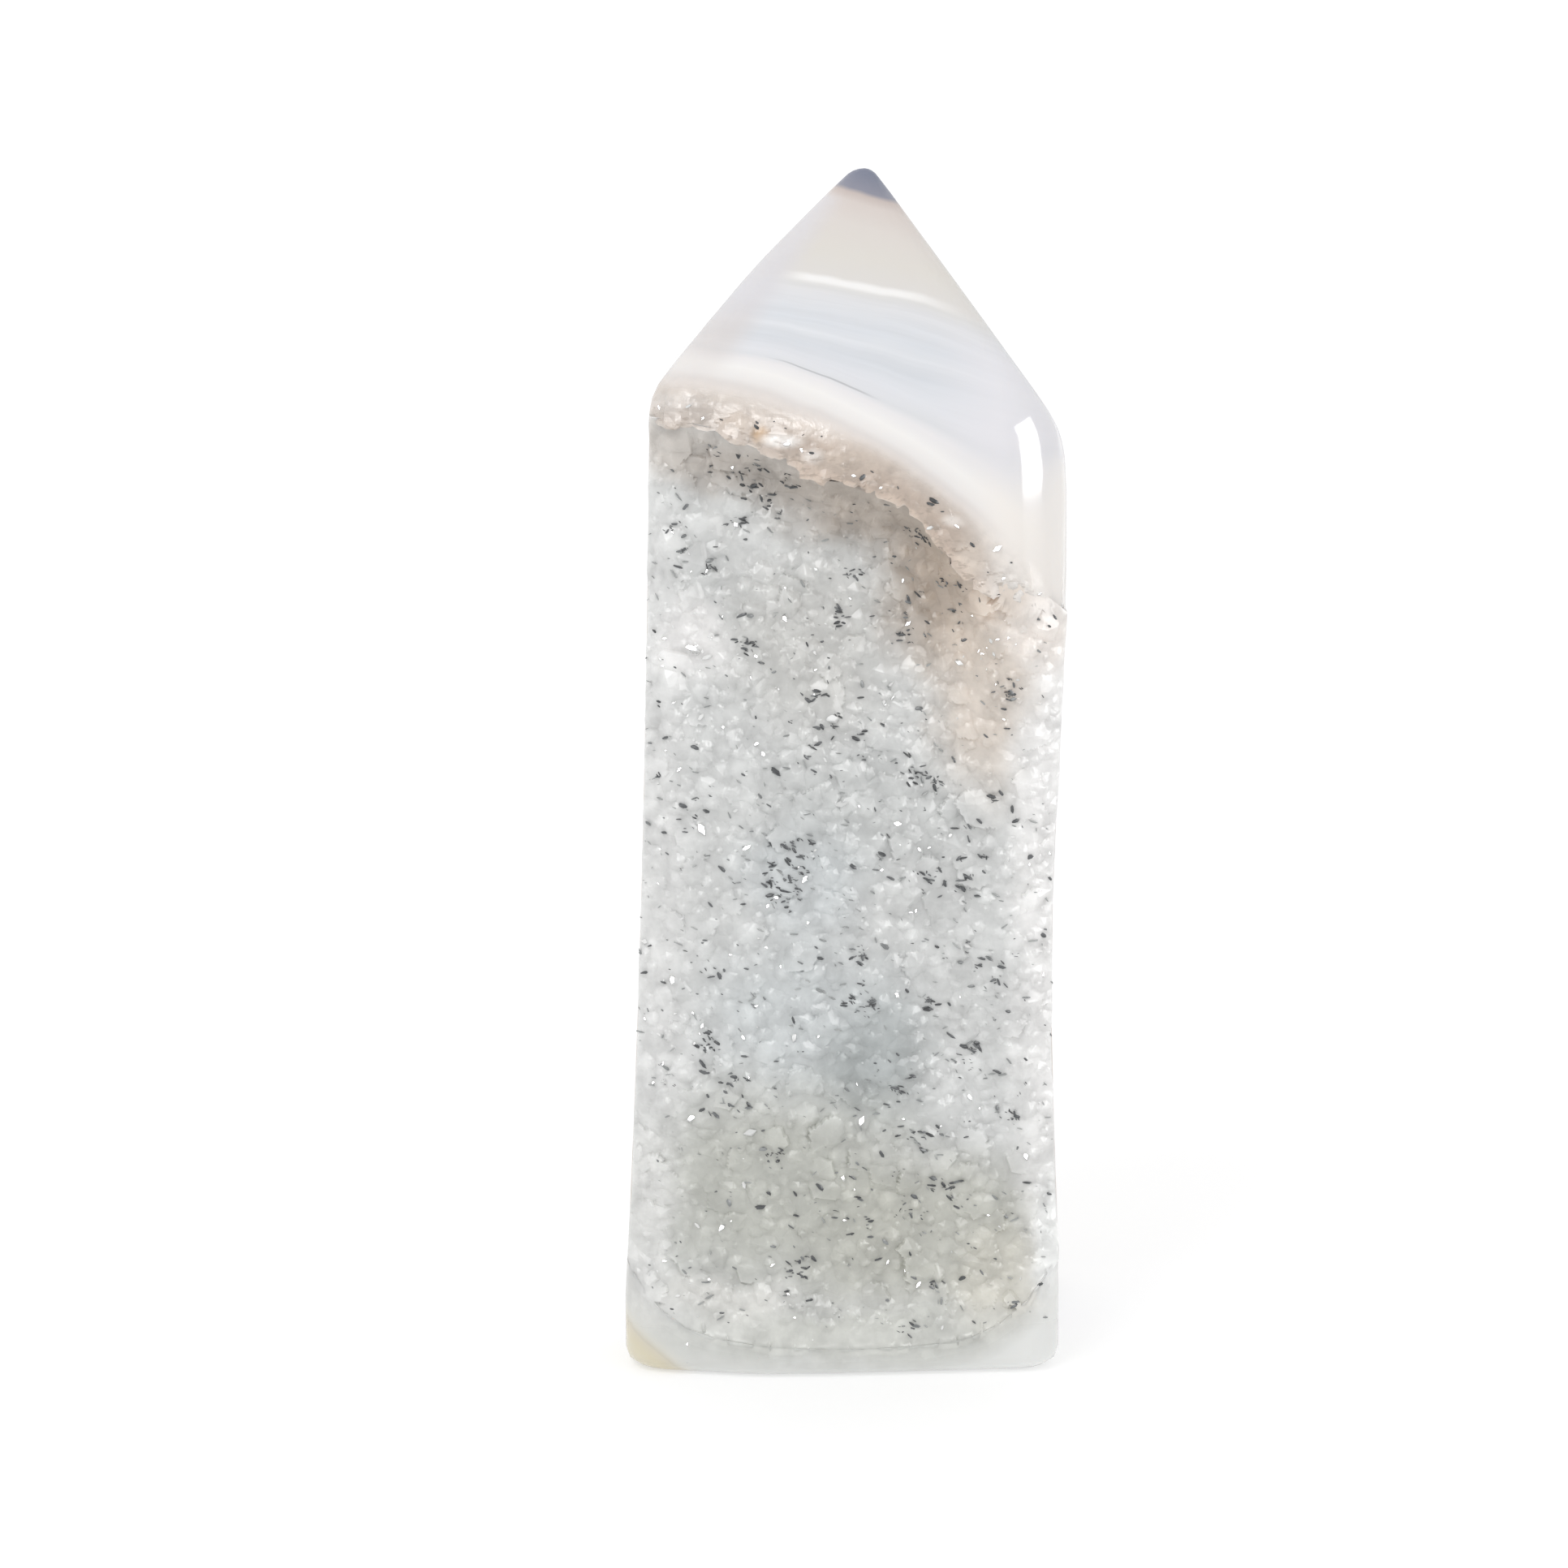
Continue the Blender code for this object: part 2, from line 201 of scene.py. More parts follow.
def addCamera():
    rise = math.radians(view["elevation"])
    away = Vector((0, -math.cos(rise), math.sin(rise)))
    place = Vector(view["aim"]) + away * view["distance"]
    bpy.ops.object.camera_add(location=place)
    camera = bpy.context.object
    camera.rotation_euler = away.to_track_quat("Z", "Y").to_euler()
    setAll(camera.data, view["lens"])
    bpy.context.scene.camera = camera
    return place


studio = {
    "room": 0.85,  # brightness of the white room all round
    "table": 0.45,  # and of the table from below
    "tableWide": 9, "tableAt": (0, 2.2, -0.02 * mm),  # m, a hair under the stone
    # lamps in mm: the polish doesn't mirror overhead and wash, and the other two are only mirrored
    "overhead": {"at": (-190, -260, 420), "size": (240, 200), "power": 0.5, "mirrored": False},
    "wash": {"at": (0, 1500, 900), "size": (2600, 1400), "power": 9.0, "mirrored": False},
    "window": {"at": (262, -96, 141.5), "size": (190, 180), "power": 1.15, "mirrored": True},
    "spark": {"at": (-150, -420, 470), "size": (80, 80), "power": 2.4, "mirrored": True},
}


def addLight(name):
    lamp = studio[name]
    at = Vector(lamp["at"]) * mm
    aim = Vector(view["aim"])
    if name == "wash":  # lights the floor behind the stone
        aim.y = at.y
    bpy.ops.object.light_add(type="AREA", location=at)
    light = bpy.context.object
    light.name = name
    light.rotation_euler = (at - aim).to_track_quat("Z", "Y").to_euler()
    light.data.shape = "ELLIPSE" if name == "spark" else "RECTANGLE"
    light.data.size, light.data.size_y = [side * mm for side in lamp["size"]]
    light.data.energy = lamp["power"]
    light.visible_diffuse = not lamp["mirrored"]
    light.visible_glossy = lamp["mirrored"]


def addStage():
    world = bpy.data.worlds.new("soft white room")
    bpy.context.scene.world = world
    world.use_nodes = True
    tree = world.node_tree
    feed(tree, tree.nodes["Background"], {"Color": white, "Strength": studio["room"]})
    bpy.ops.mesh.primitive_plane_add(size=studio["tableWide"], location=studio["tableAt"])
    floor = bpy.context.object
    floor.name = "paleFloor"
    material, tree, shader = newMaterial("white light table")  # opal plastic lit from below: little shadow
    feed(tree, shader, {
        "Base Color": linearColour("#c8c8c8"), "Roughness": 0.9, "Specular IOR Level": 0.2,
        "Emission Color": white, "Emission Strength": studio["table"],
    })
    floor.data.materials.append(material)
    bpy.context.scene.view_settings.view_transform = "Standard"


clearSelection()
eye = addCamera()
addStage()
for name in ("overhead", "wash", "window", "spark"):
    addLight(name)
print("camera, floor and lights are in place")


# the polished stone

stoneLook = {
    "pocketHeart": (-17, 42), "outerHeart": (-17, 10),  # what the bands bend round, as (x, z) in mm
    "pocketEdge": 83.3,  # height of the druzy's edge, in mm, where the bands start
    "flatten": (42.5, 51.5),  # mm from the pocket's heart, between which the bands turn to lie flatter
    "behind": (0.45, 4.3), "below": (-0.8, 3.2),  # growth per mm of y and of z, and where it starts
    "tilt": (11, 15.5, 0.08),  # between these mm of growth the last bands come to slope down to the right
    "streaks": (0.95, 1.03),  # how dark and how light the fine streaks along the bands are
    "bands": [  # mm outwards from the druzy's edge, and the colour there
        (-4.0, "#c6bab0"), (-2.0, "#ccc1b8"), (-0.4, "#d6cdc5"), (0.3, "#e1dad5"), (0.8, "#ded9d6"),
        (1.3, "#e8e5e3"), (2.2, "#efedeb"), (3.0, "#e7e5e6"), (3.4, "#dadbde"), (3.9, "#dfe0e4"),
        (5.0, "#d7dadf"), (5.8, "#dee0e4"), (6.5, "#d7dadf"), (7.4, "#dddfe3"), (8.6, "#dedee0"),
        (9.2, "#dcdbda"), (9.8, "#dcd9d6"), (12.0, "#dcd8d2"), (14.5, "#dbd5d0"),
        (16.4, "#d6cdc8"), (17.1, "#c6bab5"), (17.45, "#8f909d"), (19.0, "#7c8193"),
    ],
    "lines": {"whiteLine": (9.7, 0.08, 0.5), "crack": (3.35, 0.02, 0.08)},  # at, half width, faded out, in mm
    "patches": {  # where each look lies: soft steps (field, from none at, to full at), then its strength
        "streaky": (("growth", 2.0, 4.5), ("growth", 10.5, 8.8)),
        "rightSide": (("X", 6, 14), ("growth", 9, 7), ("growth", 2.8, 3.6), 0.75),
        "whiteLine": (("X", -6, -2.5), ("X", 10.5, 4), 0.8),
        "crack": (("Y", -4, -6), ("X", -6.5, -3.5), ("X", 3.2, 0.7), 0.45),
        "fadedFace": (("ridge", -69.5, -72.3), ("Z", 82.5, 88), ("growth", 16.9, 16.0), 0.8),
        "tan": (("growth", 0.8, -2), ("X", -9, -1), ("X", 14.5, 9.5), 0.85),
        "cream": (("X", 9.5, 14), ("growth", 3.2, 2.2), ("Z", 56, 62), 0.85),
        # the gaps between broken flakes are darkened with painted shade
        "gapShade": (("gap", 0.53, 0.66), ("broken", 0.25, 0.8), 0.55),
        "paleFoot": (("X", 6, 17), 0.6),
        "foot": (("Z", 16, 9), ("Y", -2, -9)),
        "ochre": (("slope", -8.6, -11.4), ("Y", -3, -9), 0.8),
    },
    "colours": {
        "rightSide": "#e6e4e8", "whiteLine": "#f6f5f4", "crack": "#8f9094", "cream": "#f0ebe6",
        "tan": "#c6b5a7",  # stained quartz at the right of the lip
        "gapShade": "#9c8f83", "paleFoot": "#eeefee", "fadedTop": "#d8d6da", "fadedLow": "#d6d0cd",
    },
    "marks": [  # single chips beside the lip: (x, z, half width, half height in mm, colour, strength)
        (-6.4, 79.6, 0.7, 0.7, "#c9a780", 0.8), (-4.9, 79.2, 1.5, 0.55, "#f7f3ef", 0.9),
        (-2.4, 78.0, 0.9, 0.6, "#efe9e4", 0.8), (-14.2, 82.0, 2.2, 0.8, "#ece7e3", 0.5),
        (-8.6, 80.6, 1.6, 0.8, "#cfc1b4", 0.6), (9.3, 72.6, 1.0, 0.5, "#f3ece6", 0.8),
        (1.5, 77.4, 4.0, 1.1, "#c6b9ad", 0.7), (10.2, 69.6, 1.2, 1.6, "#e2d6ca", 0.7),
    ],
    "footBands": [(0.0, "#dcdddb"), (0.1, "#d2d3d0"), (0.28, "#cfd0cc"), (0.5, "#d0d0cb"), (1.0, "#d4d3cf")],
    "footHigh": 10,  # mm, up to the last of them
    "ochreBands": [(0.0, "#dddcd6"), (0.2, "#dad6c9"), (0.32, "#c9c0ab"), (0.36, "#d2c9b3"),
                   (0.55, "#d6cdb1"), (1.0, "#d8d2bd")],
    "ochreAt": (-9.0, -14.0),  # mm down the slope that the ochre layer follows
}


def placeInMm(tree):
    place = addNode(tree, "TexCoord", give="Object")
    return addNode(tree, "Mapping", {"Vector": place, "Scale": (1000, 1000, 1000)})


def between(value, low, high, start=0, end=1):
    # what a Map Range node takes: the value's own range, then the range it is brought to
    return {"Value": value, "From Min": low, "From Max": high, "To Min": start, "To Max": end}


def smoothStep(tree, value, low, high, full=1):
    # 0 at low and full at high, which may be the smaller one
    return addNode(tree, "MapRange", between(value, low, high, 0, full), interpolation_type="SMOOTHSTEP")


def blendColour(tree, share, under, over):
    # both may be colour codes
    under, over = [linearColour(part) if isinstance(part, str) else part for part in (under, over)]
    return addNode(tree, "Mix", {"Factor": share, "A": under, "B": over}, "Result", data_type="RGBA")


def multiply(tree, first, *others):
    for other in others:
        first = addNode(tree, "Math", [first, other], operation="MULTIPLY")
    return first


def patch(tree, fields, name, *more):
    # how strongly a look of the stone is laid on at each place
    parts = [smoothStep(tree, fields[part[0]], *part[1:]) if isinstance(part, tuple) else part
             for part in stoneLook["patches"][name]]
    return multiply(tree, *more, *parts)


def bandLine(tree, growth, at, full, gone):
    # 1 on one line of growth, out to full mm from it, and 0 past gone mm
    off = addNode(tree, "Math", [growth, at], operation="SUBTRACT")
    off = addNode(tree, "Math", [off], operation="ABSOLUTE")
    return smoothStep(tree, off, gone, full)


def ovals(tree, flat, spots, colour):
    # soft-edged oval patches over a colour: (x, z, half width, half height in mm, colour code, strength)
    gone, full = 1.5, 0.35  # as shares of the half width
    for x, z, wide, high, code, strength in spots:
        centred = addNode(tree, "Mapping", {"Vector": flat, "Location": (-x / wide, 0, -z / high),
                                            "Scale": (1 / wide, 0, 1 / high)})
        reach = addNode(tree, "VectorMath", [centred], "Value", operation="LENGTH")
        colour = blendColour(tree, smoothStep(tree, reach, gone, full, strength), colour, code)
    return colour


def vertexValue(tree, name):
    return addNode(tree, "Attribute", give="Fac", attribute_name=name)


def wander(tree, place, noise, reach):
    # moves a place about by a noise, at most half of reach mm each way
    shift = addNode(tree, "VectorMath", [noise, (0.5, 0.5, 0.5)], operation="SUBTRACT")
    return addNode(tree, "VectorMath", [shift, reach, place], operation="MULTIPLY_ADD")


def growthLines(tree, inMm):
    # the lines of growth wander by most of a millimetre over 20 mm, and a little over 5 mm
    slow = addNode(tree, "TexNoise", {"Vector": inMm, "Scale": 0.045, "Detail": 1.0}, "Color")
    quick = addNode(tree, "TexNoise", {"Vector": inMm, "Scale": 0.2, "Detail": 2.0}, "Color")
    bent = wander(tree, wander(tree, inMm, slow, (2.6, 2.6, 2.6)), quick, (0.6, 0.6, 0.6))
    return bent, dict(addNode(tree, "SeparateXYZ", [bent]).node.outputs.items())


def growthField(tree, bent, fields):
    # mm outwards from the pocket: the bands bend round its heart, and further out they lie flatter
    near, far = stoneLook["pocketHeart"], stoneLook["outerHeart"]
    flat = addNode(tree, "VectorMath", [bent, (1, 0, 1)], operation="MULTIPLY")
    nearReach, farReach = [addNode(tree, "VectorMath", [flat, (x, 0, z)], "Value", operation="DISTANCE")
                           for x, z in (near, far)]
    farHigher = addNode(tree, "Math", [farReach, far[1] - near[1]], operation="ADD")
    share = smoothStep(tree, nearReach, *stoneLook["flatten"])
    reach = addNode(tree, "Mix", {"Factor": share, "A": nearReach, "B": farHigher})
    top = addNode(tree, "Math", [reach, stoneLook["pocketEdge"] - near[1]], operation="SUBTRACT")
    behind = addNode(tree, "Math", [fields["Y"], *stoneLook["behind"]], operation="MULTIPLY_ADD")
    below = addNode(tree, "Math", [fields["Z"], *stoneLook["below"]], operation="MULTIPLY_ADD")
    away = addNode(tree, "CombineXYZ", [top, behind, below])
    outside = addNode(tree, "VectorMath", [away, (0, 0, 0)], operation="MAXIMUM")
    outer = addNode(tree, "VectorMath", [outside], "Value", operation="LENGTH")
    inner = addNode(tree, "Math", [behind, below], operation="MAXIMUM")
    inner = addNode(tree, "Math", [top, inner], operation="MAXIMUM")
    inner = addNode(tree, "Math", [inner, 0], operation="MINIMUM")
    growth = addNode(tree, "Math", [outer, inner], operation="ADD")
    low, high, slope = stoneLook["tilt"]
    steep = addNode(tree, "MapRange", between(growth, low, high, 0, slope))
    return addNode(tree, "Math", [fields["X"], steep, growth], operation="MULTIPLY_ADD")


def bandColours(tree, fields):
    bands = stoneLook["bands"]
    low, high = bands[0][0], bands[-1][0]
    spot = addNode(tree, "MapRange", between(fields["growth"], low, high))
    colour = rampOf(tree, spot, [((at - low) / (high - low), code) for at, code in bands])
    # fine streaks 0.2 to 0.6 mm apart that run with the bands
    side, depth = [addNode(tree, "Math", [fields[axis], 0.03], operation="MULTIPLY") for axis in "XY"]
    along = addNode(tree, "CombineXYZ", [fields["growth"], side, depth])
    streak = addNode(tree, "TexNoise", {"Vector": along, "Scale": 1.7, "Detail": 3.0, "Roughness": 0.6})
    lift = addNode(tree, "MapRange", between(streak, 0.3, 0.7, *stoneLook["streaks"]))
    lifted = addNode(tree, "VectorMath", {0: colour, "Scale": lift}, operation="SCALE")
    return blendColour(tree, patch(tree, fields, "streaky"), colour, lifted)


def druzyColour(tree, inMm):
    # stains, and painted shade under the lip and deep in the hollow, under milky patches of 1 to 4 mm and the
    # tone of each crystal
    ripple = addNode(tree, "TexNoise", {"Vector": inMm, "Scale": 0.16, "Detail": 3.0}, "Color")
    rippled = wander(tree, inMm, ripple, (5, 0, 5))
    colour = ovals(tree, rippled, druzy["stainsAndPaintedShade"], linearColour(druzy["base"]))
    cloud = addNode(tree, "TexNoise", {"Vector": inMm, "Scale": 0.42, "Detail": 4.0, "Roughness": 0.6})
    both = addNode(tree, "Math", [vertexValue(tree, "tone"), 0.2, cloud], operation="MULTIPLY_ADD")
    lift = addNode(tree, "MapRange", between(both, 0.38, 0.82, *druzy["milky"]))
    return addNode(tree, "VectorMath", {0: colour, "Scale": lift}, operation="SCALE")


def polishedAgate():
    # Agate, sawn, ground and buffed with fine oxide: a glassy skin over stone that light sinks into a little.
    material, tree, shader = newMaterial("polished banded agate")
    colours = stoneLook["colours"]
    inMm = placeInMm(tree)
    bent, fields = growthLines(tree, inMm)
    growth = fields["growth"] = growthField(tree, bent, fields)
    colour = bandColours(tree, fields)

    # a pale right side, one thin white line and a hairline crack, both along a band and faded at the ends
    colour = blendColour(tree, patch(tree, fields, "rightSide"), colour, colours["rightSide"])
    for name, line in stoneLook["lines"].items():
        share = patch(tree, fields, name, bandLine(tree, growth, *line))
        colour = blendColour(tree, share, colour, colours[name])

    # the bands fade on the left face of the point, left of the ridge that comes down from the tip
    fields["ridge"] = addNode(tree, "VectorMath", [inMm, (1, 0, -0.72)], "Value", operation="DOT_PRODUCT")
    pale = blendColour(tree, smoothStep(tree, growth, 9, 3), colours["fadedTop"], colours["fadedLow"])
    colour = blendColour(tree, patch(tree, fields, "fadedFace"), colour, pale)

    # sugary quartz between the bands and the hollow: soft flecks of 1 to 3 mm over grains of about 0.7 mm
    fleck = addNode(tree, "TexNoise", {"Vector": inMm, "Scale": 0.5, "Detail": 4.0, "Roughness": 0.65})
    grain = addNode(tree, "TexVoronoi", {"Vector": inMm, "Scale": 1.4, "Smoothness": 0.6}, "Distance",
                    feature="SMOOTH_F1")
    both = addNode(tree, "Math", [grain, -0.2, fleck], operation="MULTIPLY_ADD")
    lift = addNode(tree, "MapRange", between(both, 0.22, 0.55, 0.88, 1.07))
    sugar = smoothStep(tree, growth, 1.2, -1.2)
    colour = blendColour(tree, patch(tree, fields, "tan"), colour, colours["tan"])
    cream = patch(tree, fields, "cream")
    colour = blendColour(tree, cream, colour, colours["cream"])
    broken = fields["broken"] = vertexValue(tree, "broken")
    marked = ovals(tree, bent, stoneLook["marks"], colour)
    colour = blendColour(tree, smoothStep(tree, broken, 0, 0.4), colour, marked)
    grainy = addNode(tree, "Math", [vertexValue(tree, "tone"), 0.38, 0.68], operation="MULTIPLY_ADD")
    grainy = addNode(tree, "Mix", {"Factor": broken, "A": 0.95, "B": grainy})
    lift = multiply(tree, lift, grainy)
    sugary = addNode(tree, "VectorMath", {0: colour, "Scale": lift}, operation="SCALE")
    # painted shade in small gaps between the broken flakes, about 1 mm wide and a third as high
    wide = addNode(tree, "VectorMath", [bent, (0.9, 0.9, 2.4)], operation="MULTIPLY")
    fields["gap"] = addNode(tree, "TexNoise", {"Vector": wide, "Scale": 1.0, "Detail": 3.0, "Roughness": 0.6})
    sugary = blendColour(tree, patch(tree, fields, "gapShade"), sugary, colours["gapShade"])
    colour = blendColour(tree, sugar, colour, sugary)

    # the foot of the stone is greyer, and one ochre layer cuts across its left corner
    up = addNode(tree, "MapRange", between(fields["Z"], 0, stoneLook["footHigh"]))
    foot = rampOf(tree, up, stoneLook["footBands"])
    foot = blendColour(tree, patch(tree, fields, "paleFoot"), foot, colours["paleFoot"])
    colour = blendColour(tree, patch(tree, fields, "foot"), colour, foot)
    fields["slope"] = addNode(tree, "VectorMath", [bent, (0.8, 0, 1)], "Value", operation="DOT_PRODUCT")
    down = addNode(tree, "MapRange", between(fields["slope"], *stoneLook["ochreAt"]))
    ochre = rampOf(tree, down, stoneLook["ochreBands"])
    colour = blendColour(tree, patch(tree, fields, "ochre"), colour, ochre)

    frost = vertexValue(tree, "frost")
    dull = addNode(tree, "Math", [sugar, frost], operation="MAXIMUM")
    matt = addNode(tree, "Math", [frost, cream], operation="MAXIMUM")
    lumps = multiply(tree, both, sugar)
    feed(tree, shader, {
        "Base Color": blendColour(tree, frost, colour, druzyColour(tree, inMm)),
        "Roughness": addNode(tree, "MapRange", between(dull, 0, 1, 0.1, 0.4)),
        "Specular IOR Level": addNode(tree, "MapRange", between(matt, 0, 1, 0.5, 0.15)),
        "Normal": addNode(tree, "Bump", {"Strength": 0.3, "Distance": 0.3 * mm, "Height": lumps}),
        "IOR": quartzIndex, "Subsurface Weight": 0.3, "Subsurface Radius": (1.2, 1.1, 1.0),
        "Subsurface Scale": 1 * mm,
    })
    return material


# shapes that repeat, each modelled once

def quartzFace(name, sides, tall, blunt, leanTip):
    # one crystal face, 1 wide, on a short column: its rim slopes up to a flat top that is narrower by blunt
    clearSelection()
    bpy.ops.mesh.primitive_cylinder_add(vertices=sides, radius=0.5, depth=0.7, location=(0, 0, -0.35))
    crystal = bpy.context.object
    crystal.name = name
    editFaces(crystal, lambda face: face.normal.z > 0.9)
    bpy.ops.mesh.extrude_region_move(TRANSFORM_OT_translate={"value": (leanTip, leanTip * 0.6, tall)})
    bpy.ops.transform.resize(value=(blunt, blunt, 1))
    setMode("OBJECT")
    bpy.ops.object.transform_apply(location=True, rotation=True, scale=True)
    return crystal


def darkShard(name, seed):
    # one angular grain of dark ore, 1 long
    clearSelection()
    bpy.ops.mesh.primitive_ico_sphere_add(subdivisions=2, radius=0.5)
    shard = bpy.context.object
    shard.name = name
    setMode("EDIT")
    bpy.ops.mesh.select_all(action="SELECT")
    bpy.ops.transform.vertex_random(offset=0.2, uniform=0, normal=0, seed=seed)
    bpy.ops.transform.resize(value=(1, 0.55, 0.45))
    setMode("OBJECT")
    return shard


def copies(name, masters, places):
    # each place is (which master, 4 by 4 matrix, tone): one joined mesh, with the tone kept for the material
    points, faces, tones = [], [], []
    shapes = [([v.co.copy() for v in master.data.vertices], [list(p.vertices) for p in master.data.polygons])
              for master in masters]
    for which, matrix, tone in places:
        start = len(points)
        verts, polys = shapes[which]
        points += [matrix @ v for v in verts]
        faces += [[start + k for k in poly] for poly in polys]
        tones += [tone] * len(verts)
    mesh = bpy.data.meshes.new(name)
    mesh.from_pydata(points, [], faces)
    piece = bpy.data.objects.new(name, mesh)
    keepValues(piece, tone=tones)
    bpy.context.scene.collection.objects.link(piece)
    for master in masters:
        bpy.data.objects.remove(master, do_unlink=True)
    return piece


def standOn(spot, out, size, wide, deep):
    # stands a shape on a spot with its tip along out, turned at random about that, size in mm
    turnOut = out.normalized().to_track_quat("Z", "Y").to_matrix().to_4x4()
    spin = Matrix.Rotation(random.uniform(0, math.tau), 4, "Z")
    grow = Matrix.Diagonal((size * mm, size * wide * mm, size * deep * mm, 1))
    return Matrix.Translation(spot) @ turnOut @ spin @ grow


def surfaceOf(*pieces):
    verts, polys = [], []
    for piece in pieces:
        start = len(verts)
        verts += [v.co.copy() for v in piece.data.vertices]
        polys += [[start + k for k in p.vertices] for p in piece.data.polygons]
    return BVHTree.FromPolygons(verts, polys)


def frontAt(ground, x, z):
    # the first surface met from the front at x and z in mm, and the way it faces
    return ground.ray_cast(Vector((x * mm, -30 * mm, z * mm)), Vector((0, 1, 0)), 24 * mm)[:2]


# the druzy: its bed and its crystals

druzy = {
    "openGap": 0.36,  # mm, the bed is carried out over the gap that parts the CAD solids
    "front": -0.12, "side": 0.8,  # y of the normals on the crust's front is less, x on its sides is more
    "soften": 0.5, "cuts": 4,
    "pitch": 1.2, "rowPitch": 0.866, "turn": 23, "stray": 0.45,  # a loose honeycomb, in mm and degrees
    "halfWide": 20, "high": 84,  # mm, what it covers
    "across": (-17, 17.5),  # mm, where flashing faces and dark grains are strewn
    "tip": (0.05, 0.42), "reach": 1.25,  # mm that a crystal stands up and reaches out
    "slope": (0.35, 0.75), "lean": 0.16,  # rise over run
    "largeShare": 0.045, "largeTip": (0.4, 0.75), "largeReach": (1.3, 2.1),
    "known": [(6.9, 53.9), (-9.5, 60.0), (3.5, 18.0)],  # large blunt crystals that stand out, as (x, z)
    "base": "#cdcecd", "milky": (0.86, 1.17),  # how much darker and lighter the milky patches make it
    "stainsAndPaintedShade": [  # what colours the druzy: real stains, and painted shade under the lip and in the deepest part of the hollow: (x, z, half width, half height in mm, colour, strength)
        # (8, 67.5) is a brown stain deepened by painted shade under the lip; (2, 73.5) and (-6, 76.4) are
        # painted shade under the lip
        (8.0, 67.5, 5.0, 6.5, "#ab9885", 0.75), (2.0, 73.5, 7.0, 3.5, "#a89b8e", 0.75),
        (-6.0, 76.4, 6.5, 2.4, "#a89d92", 0.65), (12.0, 59.0, 5.0, 9.0, "#d5c8bb", 0.7),
        # (-2.5, 62) is painted shade in the deepest part of the hollow
        (-2.5, 62.0, 7.0, 7.0, "#bebdb9", 0.6), (1.0, 49.0, 8.0, 5.0, "#bfc1c0", 0.6),
        (-3.0, 31.0, 8.0, 7.0, "#c3c9cb", 0.5), (2.8, 27.0, 4.5, 5.5, "#a4a9a9", 0.8),
        (-3.0, 43.0, 5.0, 5.0, "#bfc4c6", 0.6), (-6.0, 16.0, 13.0, 9.0, "#b6b7af", 0.8),
        (8.0, 12.0, 11.0, 7.0, "#babab1", 0.8), (13.5, 7.0, 4.0, 5.0, "#d6d2c6", 0.5),
        (-16.5, 45.0, 3.5, 34.0, "#d7d7d6", 0.8),
        (17.0, 42.0, 3.0, 32.0, "#e4e3e2", 0.9), (-12.5, 62.0, 3.2, 3.2, "#eae8e7", 0.65),
        (-10.0, 6.4, 6.0, 2.0, "#dad9d5", 0.7), (1.0, 3.2, 17.0, 2.6, "#c7c8c2", 0.85),
        # (-13, 78.6) is painted shade under the left end of the lip
        (16.0, 64.0, 3.0, 4.0, "#e6dfd9", 0.9), (-13.0, 78.6, 5.5, 3.2, "#b8b0a8", 0.7),
        (12.8, 66.8, 3.0, 2.4, "#dccfc3", 0.7), (-17.0, 13.0, 2.4, 8.0, "#d7d7d5", 0.8),
        (17.6, 11.0, 1.6, 6.0, "#e2e3e2", 0.8),
    ],
}


def makeBed(polish, crystals):
    # the crust's front is cut fine enough for its crystals to be raised out of it
    bed = mergedCopy("druzy_crust", "crystalBed")
    editFaces(bed, lambda face: face.normal.y > druzy["front"] and abs(face.normal.x) < druzy["side"])
    bpy.ops.transform.shrink_fatten(value=druzy["openGap"] * mm)
    editFaces(bed, lambda face: face.normal.y < druzy["front"])
    bpy.ops.mesh.select_less()
    bpy.ops.mesh.vertices_smooth(factor=druzy["soften"], repeat=2)
    setMode("OBJECT")
    front = [face.normal.y < druzy["front"] for face in bed.data.polygons]
    raiseLip(bed)
    featherBorder(bed, polish, front)
    editChosen(bed, "FACE", front)
    bpy.ops.mesh.subdivide(number_cuts=druzy["cuts"])
    bpy.ops.mesh.select_less()
    setMode("OBJECT")
    raiseCrystals(bed, polish, crystals)
    return bed


def honeycomb(pitch, turn, stray):
    # x and z in mm of a loose honeycomb that covers the hollow
    turned = Matrix.Rotation(math.radians(turn), 2)
    wide, high = druzy["halfWide"], druzy["high"]
    rows = range(-50, 51)  # enough to pass the edges
    for row in rows:
        for column in rows:
            spot = turned @ Vector(((column + 0.5 * (row % 2)) * pitch, row * pitch * druzy["rowPitch"]))
            x = spot.x + random.uniform(-1, 1) * stray * pitch
            z = spot.y + high / 2 + random.uniform(-1, 1) * stray * pitch
            if -wide < x < wide and 0 < z < high:
                yield x, z


def plantCrystals():
    # every crystal of the druzy: where it stands, and its size, slope, lean and tone
    spots = [(x, z, random.random() < druzy["largeShare"])
             for x, z in honeycomb(druzy["pitch"], druzy["turn"], druzy["stray"])]
    crystals = []
    for x, z, large in spots + [(x, z, True) for x, z in druzy["known"]]:
        tip = random.uniform(*druzy["largeTip" if large else "tip"])
        blunt = large or random.random() < 0.3
        crystals.append({
            "at": (x, z), "turn": random.uniform(0, math.pi / 3), "slope": random.uniform(*druzy["slope"]),
            "tip": tip, "top": tip * random.uniform(0.5, 0.8) if blunt else tip,
            "reach": random.uniform(*druzy["largeReach"]) if large else druzy["reach"],
            "wide": random.uniform(0.7, 1.3), "tone": random.random(),
            "lean": (random.gauss(0, druzy["lean"]), random.gauss(0, druzy["lean"])),
        })
    return crystals


